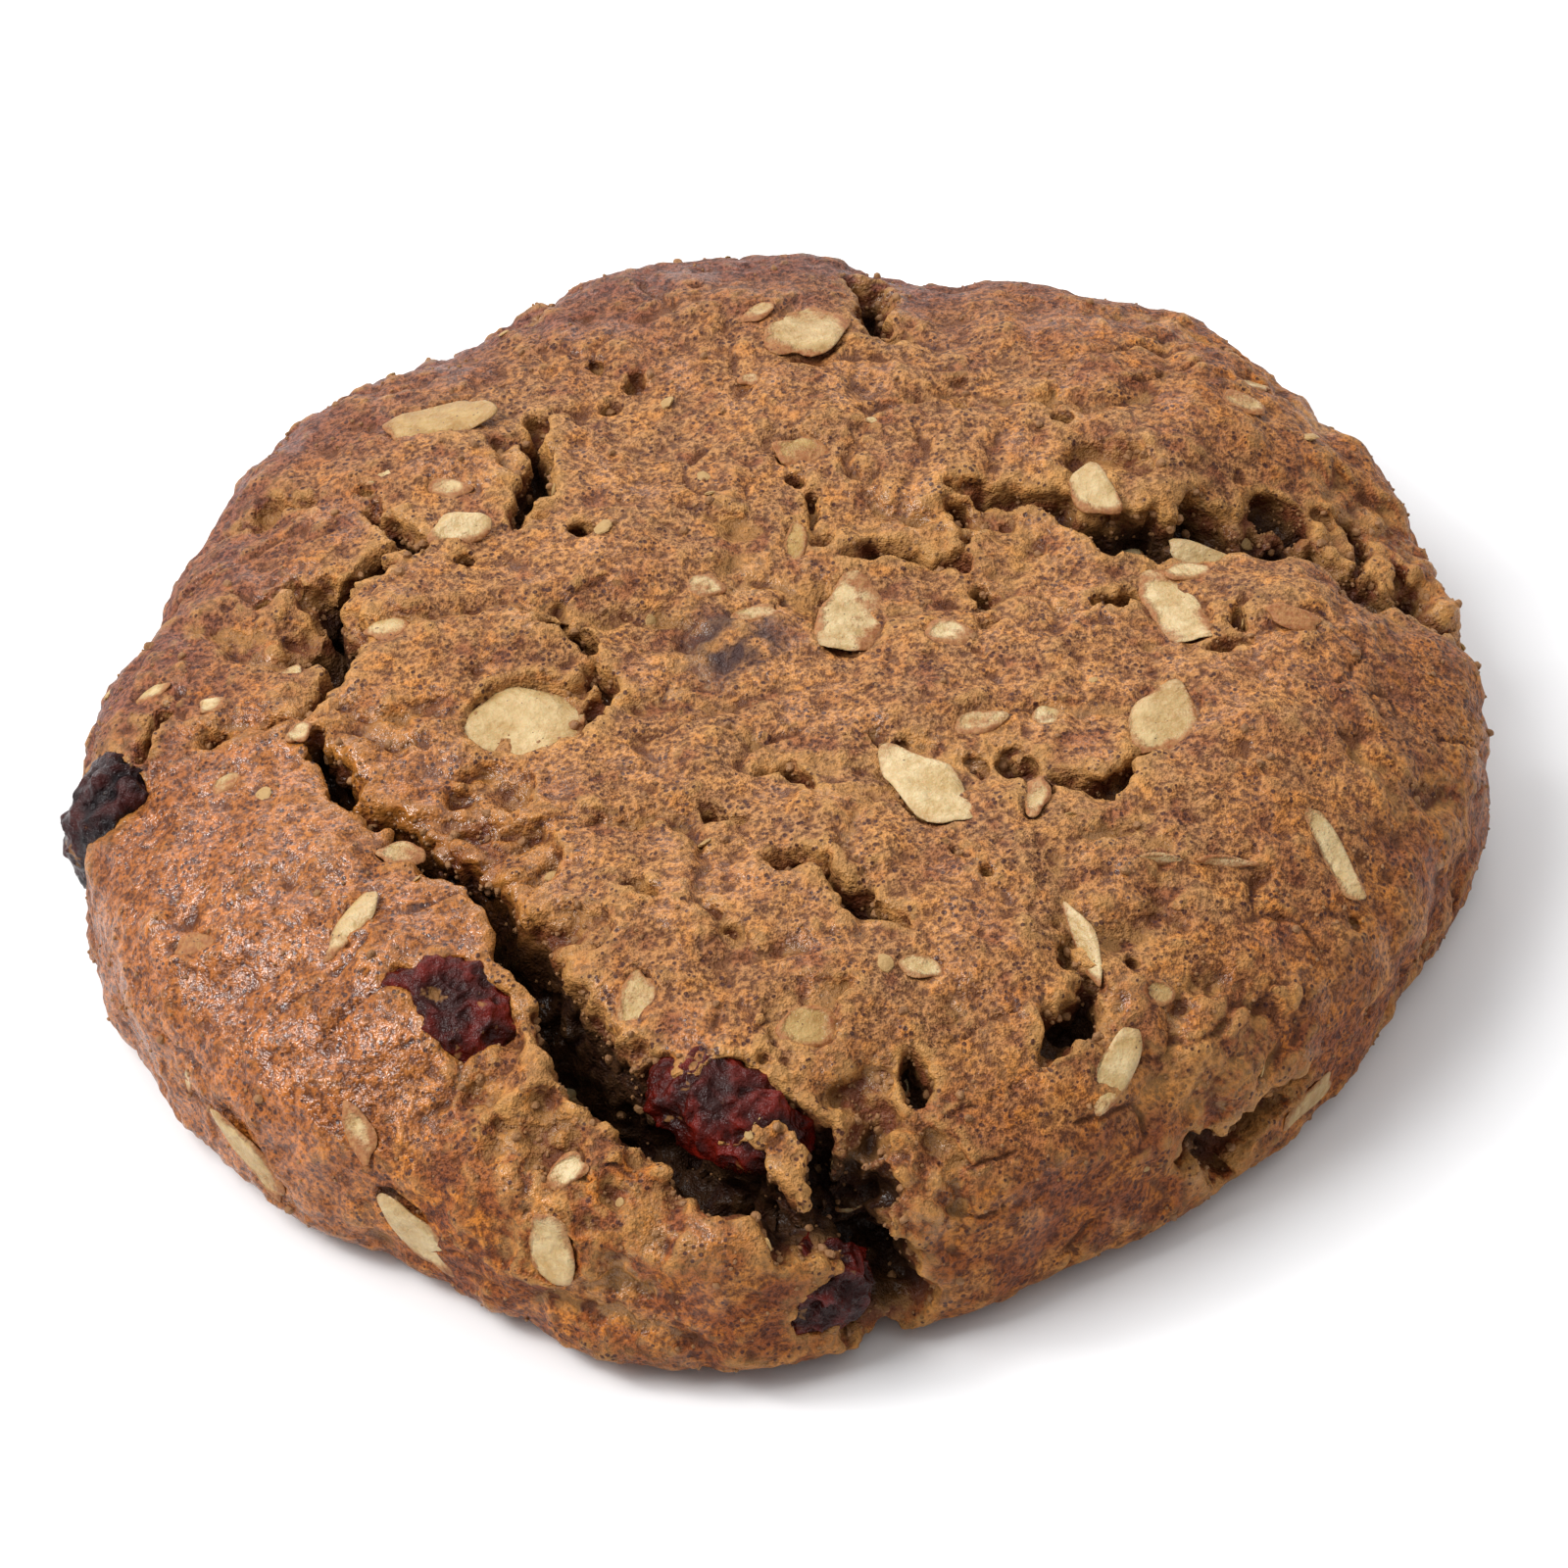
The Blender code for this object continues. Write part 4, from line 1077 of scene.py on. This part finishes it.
class Finish:
    """A procedural material, and the nodes that its maths needs."""

    def __init__(self, name, **constants):
        self.material = bpy.data.materials.new(name)
        self.material.use_nodes = True
        self.tree = self.material.node_tree
        self.shader = self.tree.nodes["Principled BSDF"]
        self.set(self.shader, constants)
        place = self.node("ShaderNodeTexCoord")
        to_mm = {0: place.outputs["Object"], "Scale": 1 / MM}
        self.spot = self.out(self.node("ShaderNodeVectorMath", {"operation": "SCALE"}, to_mm))
        apart = self.node("ShaderNodeSeparateXYZ", None, {0: self.spot})
        self.x, self.y, self.z = (Value(self.tree, socket) for socket in apart.outputs)

    def set(self, shader, constants):
        for name, value in constants.items():
            shader.inputs[socket_name(name)].default_value = value

    def node(self, kind, settings=None, inputs=None):
        return add_node(self.tree, kind, settings, inputs)

    def out(self, node, key=0):
        return Value(self.tree, node.outputs[key])

    def attribute(self, name):
        return self.out(self.node("ShaderNodeAttribute", {"attribute_name": name}), "Fac")

    def noise(self, length, detail=2.0, rough=0.5):
        """Noise from 0 to 1 with features of about this length in millimetres."""
        inputs = {"Vector": self.spot, "Scale": 1 / length, "Detail": detail, "Roughness": rough}
        return self.out(self.node("ShaderNodeTexNoise", None, inputs))

    def cells(self, length):
        """Distance to the nearest of many points, this many millimetres apart."""
        inputs = {"Vector": self.spot, "Scale": 1 / length}
        return self.out(self.node("ShaderNodeTexVoronoi", None, inputs), "Distance")

    def blend(self, share, first, second, mode="MIX"):
        """Mixes two colours. Each is a colour socket or a tuple."""
        settings = {"data_type": "RGBA", "blend_type": mode, "clamp_factor": True}
        first, second = ((*c, 1.0) if isinstance(c, tuple) else c for c in (first, second))
        return self.out(self.node("ShaderNodeMix", settings, {0: share, 6: first, 7: second}), 2)

    def cover(self, colour, *layers):
        """Lays colours over one another, each by its share."""
        for share, tint in layers:
            colour = self.blend(share, colour, tint)
        return colour

    def ball_mask(self, x, y, radius, soft):
        """1 inside a round area about (x, y), fading out over soft millimetres."""
        away = ((self.x - x) ** 2.0 + (self.y - y) ** 2.0) ** 0.5
        return away.ramp(radius, radius + soft, 1.0, 0.0)

    def bump(self, height):
        """Tips the surface by a height in millimetres."""
        inputs = {"Height": height, "Distance": MM, "Strength": 1.0}
        return self.out(self.node("ShaderNodeBump", None, inputs))

    def wire(self, shader=None, **sockets):
        for name, value in sockets.items():
            self.tree.links.new(value.socket, (shader or self.shader).inputs[socket_name(name)])

    def layer(self, share, base_color, normal, **constants):
        """Mixes a second, glossier finish into the first by a share that may vary."""
        glossy = self.tree.nodes.new("ShaderNodeBsdfPrincipled")
        self.set(glossy, constants)
        self.wire(glossy, base_color=base_color, normal=normal)
        inputs = {0: share, 1: self.shader.outputs[0], 2: glossy.outputs[0]}
        both = self.node("ShaderNodeMixShader", None, inputs)
        self.tree.links.new(both.outputs[0], self.tree.nodes["Material Output"].inputs["Surface"])


print("finishes are ready to be mixed")

# %% [markdown]
# ## Crust
#
# Baked crust is tan where it is thin and redder brown where it rose and browned at the rim. Bran
# and cinnamon leave fine dark specks all through it. Inside the cracks the dough is moist, and
# painted shade darkens it with depth. Hollows in the crust get painted shade too, what stands
# proud some painted light, and the back left rim a darker purple-brown that is partly painted
# sheen. The lobe at the front left was wet with syrup, so it shines. A film of syrup is smoother
# than the crust under it, so it is a second shader with less bump, mixed in by a mask. A coat on
# the first shader would follow the bare mesh, without any bump, and look like flour.

# %% The dough's finish
TAN = (0.350, 0.150, 0.046)
ORANGE = (0.410, 0.135, 0.016)
GOLD = (0.440, 0.200, 0.058)
RUST = (0.190, 0.050, 0.020)
GREY_TAN = (0.310, 0.150, 0.060)
BROWN = (0.225, 0.060, 0.010)
PURPLE = (0.150, 0.040, 0.014)
HOLLOW_SHADE = (0.100, 0.030, 0.008)
SHEEN_RED_BROWN = (0.150, 0.050, 0.034)
SPECK = (0.045, 0.011, 0.008)
PALE = (0.520, 0.270, 0.080)
MOIST_AND_SHADE = (0.018, 0.005, 0.002)
CRUMB_TAN = (0.300, 0.140, 0.042)
STAIN = (0.050, 0.022, 0.018)
SYRUP = (0.78, 0.55, 0.24)
DARK_GRAIN = (0.38, 0.30, 0.27)
PALE_GRAIN = (1.44, 1.42, 1.30)
LOBE = (-29.0, -20.0)  # x and y of the syrupy lobe's middle, in millimetres
HIDDEN_RAISIN = (-2.9, 0.4)  # and of the raisin that stains the crust from below


def paint_dough(name):
    f = Finish(name, specular_ior_level=0.20)
    deep, proud, swell = (f.attribute(word) for word in ("deep", "proud", "swell"))
    blotch = f.noise(5.0, 2.0, 0.6)
    hue = f.noise(3.4, 2.0, 0.6)
    patch = f.noise(1.7, 3.0, 0.65)
    grain = f.noise(0.42, 2.0, 0.75)
    # what browned: the rim, the low side and the left lobe
    radius = (f.x**2.0 + f.y**2.0) ** 0.5
    rim = (radius + (blotch - 0.5) * 16).ramp(25.0, 42.0)
    low = f.z.ramp(14.0, 6.0)
    left = (f.x * -1.0 - f.y * 0.3).ramp(10.0, 40.0)
    browned = rim * 0.65 + low * 0.55 + left * 0.2 + (patch - 0.5) * 1.1
    # the syrupy lobe at the front left, and at the back left rim a darker purple-brown that is
    # partly browning and partly painted sheen
    wet = f.ball_mask(*LOBE, 11.0, 9.0)
    far = (f.y - f.x * 0.8).ramp(12.0, 34.0) * rim
    colour = f.cover(
        f.blend(blotch.ramp(0.40, 0.68), GREY_TAN, TAN),
        (browned.at_least(0.0).at_most(1.0), BROWN),
        (hue.ramp(0.50, 0.68) * 0.6, GOLD),
        (hue.ramp(0.47, 0.32) * 0.6, RUST),
        (patch.ramp(0.48, 0.66) * (0.25 + rim * 0.4 + left * 0.4), ORANGE),
        (patch.ramp(0.47, 0.33) * (0.42 + rim * 0.25), PURPLE),
        (wet * 0.45, GOLD),
        (far * 0.9, SHEEN_RED_BROWN),
    )
    light_grain = f.blend(grain.ramp(0.35, 0.65), DARK_GRAIN, PALE_GRAIN)
    colour = f.blend(1.0, colour, light_grain, "MULTIPLY")
    # the specks of bran and spice are larger in some places than in others
    size = f.noise(1.3, 2.0).ramp(0.36, 0.64, 0.0, 0.42)
    specks = (size - f.cells(0.44) + (grain - 0.5) * 0.5).ramp(0.0, 0.15)
    # the inner crumb, behind lips that are thin and pale: moist, and darker the deeper it lies by
    # painted shade
    inner = (deep + (patch - 0.5) * 0.9).ramp(0.5, 1.4)
    crumb = f.blend(patch.ramp(0.42, 0.62), PURPLE, CRUMB_TAN)
    crumb = f.blend(deep.ramp(0.9, 3.0), crumb, MOIST_AND_SHADE)
    lips = deep.ramp(0.12, 0.4) * patch.ramp(0.42, 0.55)
    colour = f.cover(
        colour,
        # painted shade darkens the hollows and dips; what stands proud is lighter, partly paler
        # golden crust and partly painted light
        (swell.ramp(0.0, -0.5) * 0.85, HOLLOW_SHADE),
        (swell.ramp(0.1, 0.5) * 0.30, PALE),
        (proud.ramp(-0.02, -0.14) * 0.85, HOLLOW_SHADE),
        (proud.ramp(0.04, 0.16) * 0.30, PALE),
        (specks * 0.9, SPECK),
        (lips * 0.35, PALE),
        (inner * 0.9, crumb),
        (f.ball_mask(*HIDDEN_RAISIN, 0.2, 4.6) * hue.ramp(0.62, 0.40) * 1.3, STAIN),
    )
    colour = f.blend(wet * 0.8, colour, f.blend(1.0, colour, SYRUP, "MULTIPLY"))
    dry = f.bump(grain * 0.38 + patch * 0.40)
    f.wire(base_color=colour, roughness=0.60 + (patch - 0.5) * 0.3, normal=dry)
    gloss = (wet * 0.75 + 0.08).at_least(blotch.ramp(0.5, 0.62) * 0.4)
    gloss = gloss * patch.ramp(0.40, 0.55, 0.2, 1.0)
    film = f.bump(grain * 0.17 + patch * 0.26)
    f.layer(gloss, colour, film, roughness=0.17, specular_ior_level=0.8)
    return f.material


crust = paint_dough("crust")
dough.data.materials.append(crust)
print("crust nodes:", len(crust.node_tree.nodes))

# %% [markdown]
# ## Oats, fruit and crumbs
#
# Oats are cream with a tan edge and a film of dough here and there. Fruit is dark, with a painted
# highlight in brighter red on its raised folds. Crumbs take the colour of the inner dough.

# %% The other finishes
CREAM = (0.540, 0.410, 0.210)
TOASTED = (0.360, 0.215, 0.060)
OAT_EDGE = (0.300, 0.150, 0.050)
DARK_MOTTLE = (0.80, 0.68, 0.50)
PALE_MOTTLE = (1.14, 1.16, 1.25)


def paint_oats():
    f = Finish("oat", specular_ior_level=0.4, subsurface_weight=0.12, subsurface_scale=MM)
    edge, film, dip, gold = (f.attribute(word) for word in ("edge", "film", "dip", "gold"))
    mottle = f.noise(1.4, 4.0, 0.65)
    shade = f.blend(mottle.ramp(0.3, 0.7), DARK_MOTTLE, PALE_MOTTLE)
    # dough covers a flake by its film, at its edge and where it dips into the crust
    wander = (f.noise(1.9, 4.0, 0.65) - 0.5) * 1.8
    cover = film * 1.1 + 0.10 + edge.ramp(0.5, 1.0) * 0.40 + dip * 0.40 + wander
    cover = cover.ramp(0.40, 0.85)
    specks = (f.noise(1.6, 1.0).ramp(0.35, 0.75, 0.0, 0.2) - f.cells(0.42)).ramp(0.0, 0.06)
    colour = f.cover(
        f.blend(1.0, f.blend(gold, CREAM, TOASTED), shade, "MULTIPLY"),
        (edge.ramp(0.75, 1.1) * 0.4, OAT_EDGE),
        (cover * 0.9, f.blend(f.noise(0.35, 3.0, 0.6).ramp(0.3, 0.7), BROWN, TAN)),
        (specks * 0.8, SPECK),
    )
    rough = 0.42 + cover * 0.2 + (mottle - 0.5) * 0.2
    height = mottle * 0.30 + f.noise(0.4, 2.0) * 0.10 + cover * 0.15
    f.wire(base_color=colour, roughness=rough, normal=f.bump(height))
    return f.material


def paint_fruit(name, dark, fold_highlight):
    f = Finish(name, specular_ior_level=0.22)
    # painted highlight: the raised folds take the brighter colour
    raised = f.attribute("fold").ramp(-0.2, 0.45) * f.noise(1.8, 3.0).ramp(0.35, 0.65)
    dust = f.noise(1.6, 3.0, 0.65).ramp(0.62, 0.68) * 0.6
    colour = f.cover(dark, (raised, fold_highlight), (dust, CRUMB_TAN))
    skin = f.bump(f.noise(0.5, 3.0, 0.65) * 0.30)
    f.wire(base_color=colour, roughness=0.26 + dust * 0.4, normal=skin)
    return f.material


def paint_crumbs(name, light, dark):
    f = Finish(name, specular_ior_level=0.35)
    specks = (0.14 - f.cells(0.4)).ramp(0.0, 0.06)
    colour = f.cover(dark, (f.noise(0.9, 2.0), light), (specks * 0.6, SPECK))
    rough = 0.6 + (f.noise(0.5) - 0.5) * 0.3
    f.wire(base_color=colour, roughness=rough, normal=f.bump(f.noise(0.3, 3.0) * 0.12))
    return f.material


oats.data.materials.append(paint_oats())
fruit_finish = {
    "raisin": paint_fruit("raisin", (0.008, 0.004, 0.005), (0.045, 0.008, 0.007)),
    "cranberry": paint_fruit("cranberry", (0.022, 0.002, 0.001), (0.130, 0.007, 0.003)),
}
for fruit in FRUITS:
    fruit_pieces[fruit.name].data.materials.append(fruit_finish[fruit.slot])
crumb_finish = paint_crumbs("crumb", (0.36, 0.180, 0.066), (0.16, 0.068, 0.028))
scrap_finish = paint_crumbs("oat_scrap", (0.46, 0.300, 0.120), (0.30, 0.160, 0.050))

# %% [markdown]
# The crumbs come last of the pieces, because their node tree sets their finish. They lie
# thickest where the dough is crumbly, but not deep down in the canyon, and none lie on the tray.

# %% Crumbs on the dough
surface = read(dough.data.vertices, "co") / MM
deep_here, crumbly_here = (
    read(dough.data.attributes[word].data, "value", 1)[:, 0] for word in ("deep", "crumbly")
)
crumbly_here = crumbly_here * (1 - 0.95 * smoothstep(1.2, 2.6, deep_here))
off_tray = smoothstep(0.4, 1.5, surface[:, 2])
patches = np.clip(0.5 + 1.2 * noise(surface + 70, 4.0), 0, 1)
crumbs = scatter(
    "crumbs", (0.05 * patches + crumbly_here) * off_tray, grain_kinds("crumb", 5, 2, 0.75),
    crumb_finish, per_m2=0.8e6, smallest=0.25, largest=0.75, seed=3,
)
dust = scatter(
    "crumb_dust", (0.15 * patches + crumbly_here) * off_tray, grain_kinds("dust", 4, 1, 0.8),
    crumb_finish, per_m2=2.2e6, smallest=0.15, largest=0.36, seed=5,
)
scraps = scatter(
    "oat_scraps", (0.3 + crumbly_here) * off_tray, grain_kinds("scrap", 4, 2, 0.25),
    scrap_finish, per_m2=0.012e6, smallest=0.5, largest=1.4, tumble=0.5, seed=8,
)

# %% [markdown]
# ## Which solid each piece stands for

# %% Tie the pieces to the frame
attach(dough, "root")
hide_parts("dough")
for piece in (oats, crumbs, dust, scraps):
    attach(piece, "root")
for fruit in FRUITS:
    piece = fruit_pieces[fruit.name]
    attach(piece, "root")
    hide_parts(fruit.name)

# %% [markdown]
# ## Table, light and camera
#
# A white table that runs out of the picture, and a sky that is dim in front and bright behind and
# above, as a studio with a large soft box is. A soft light at the left gives the relief, a small
# one beside it the glints on the syrup, and one low behind draws the rim. The camera looks down
# at 43 degrees from straight in front, and is far enough for the photo's flat perspective.

# %% Stage
TABLE_SIZE = 3.0
SKY = (0.18, 1.05)  # brightness of the sky low in front, and high up behind
corners = np.array([[-1, -1, 0], [1, -1, 0], [1, 1, 0], [-1, 1, 0]]) * TABLE_SIZE / 2
table = mesh_object("table", corners, [(0, 1, 2, 3)])
paper = Finish("paper", base_color=(0.86, 0.86, 0.87, 1), roughness=0.9, specular_ior_level=0.1)
table.data.materials.append(paper.material)
table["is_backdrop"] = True

scene = bpy.context.scene
scene.view_settings.view_transform = "Standard"
world = bpy.data.worlds.new("sky")
scene.world = world
world.use_nodes = True
looking = add_node(world.node_tree, "ShaderNodeTexCoord").outputs["Generated"]
parts = add_node(world.node_tree, "ShaderNodeSeparateXYZ", None, {0: looking})
_, backward, upward = (Value(world.node_tree, socket) for socket in parts.outputs)
glow = (backward * 0.55 + upward * 0.80).ramp(-0.3, 0.9, *SKY)
sky = world.node_tree.nodes["Background"]
sky.inputs["Color"].default_value = (1, 1, 1, 1)
world.node_tree.links.new(glow.socket, sky.inputs["Strength"])


def softbox(name, azimuth, elevation, distance, size, power):
    """A square light that looks at the cookie."""
    lamp = bpy.data.lights.new(name, "AREA")
    lamp.size = size
    lamp.energy = power
    made = bpy.data.objects.new(name, lamp)
    turn, lift = math.radians(azimuth), math.radians(elevation)
    flat = math.cos(lift)
    away = Vector((flat * math.cos(turn), flat * math.sin(turn), math.sin(lift)))
    made.location = away * distance
    made.rotation_euler = (-away).to_track_quat("-Z", "Y").to_euler()  # its front is -Z
    scene.collection.objects.link(made)


softbox("key", 196, 52, 0.7, 0.40, 3.9)
softbox("glint", 182, 44, 0.7, 0.12, 1.0)
softbox("back", 105, 25, 0.8, 0.5, 1.4)

ELEVATION = math.radians(43)
DISTANCE = 0.43
LENS = 164.5  # millimetres, on a sensor 36 wide
TARGET = Vector((-0.00005, -0.00193, 0.008))
camera_data = bpy.data.cameras.new("camera")
camera_data.sensor_width = 36
camera_data.lens = LENS
camera = bpy.data.objects.new("camera", camera_data)
scene.collection.objects.link(camera)
forward = Vector((0, math.cos(ELEVATION), -math.sin(ELEVATION)))
camera.location = TARGET - forward * DISTANCE
camera.rotation_euler = forward.to_track_quat("-Z", "Y").to_euler()
scene.camera = camera
print("camera at", tuple(round(v, 3) for v in camera.location))

# %% Sizes
boxes = {"cad": cad_box, "visual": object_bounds()}
boxes = {name: [list(corner) for corner in box] for name, box in boxes.items()}
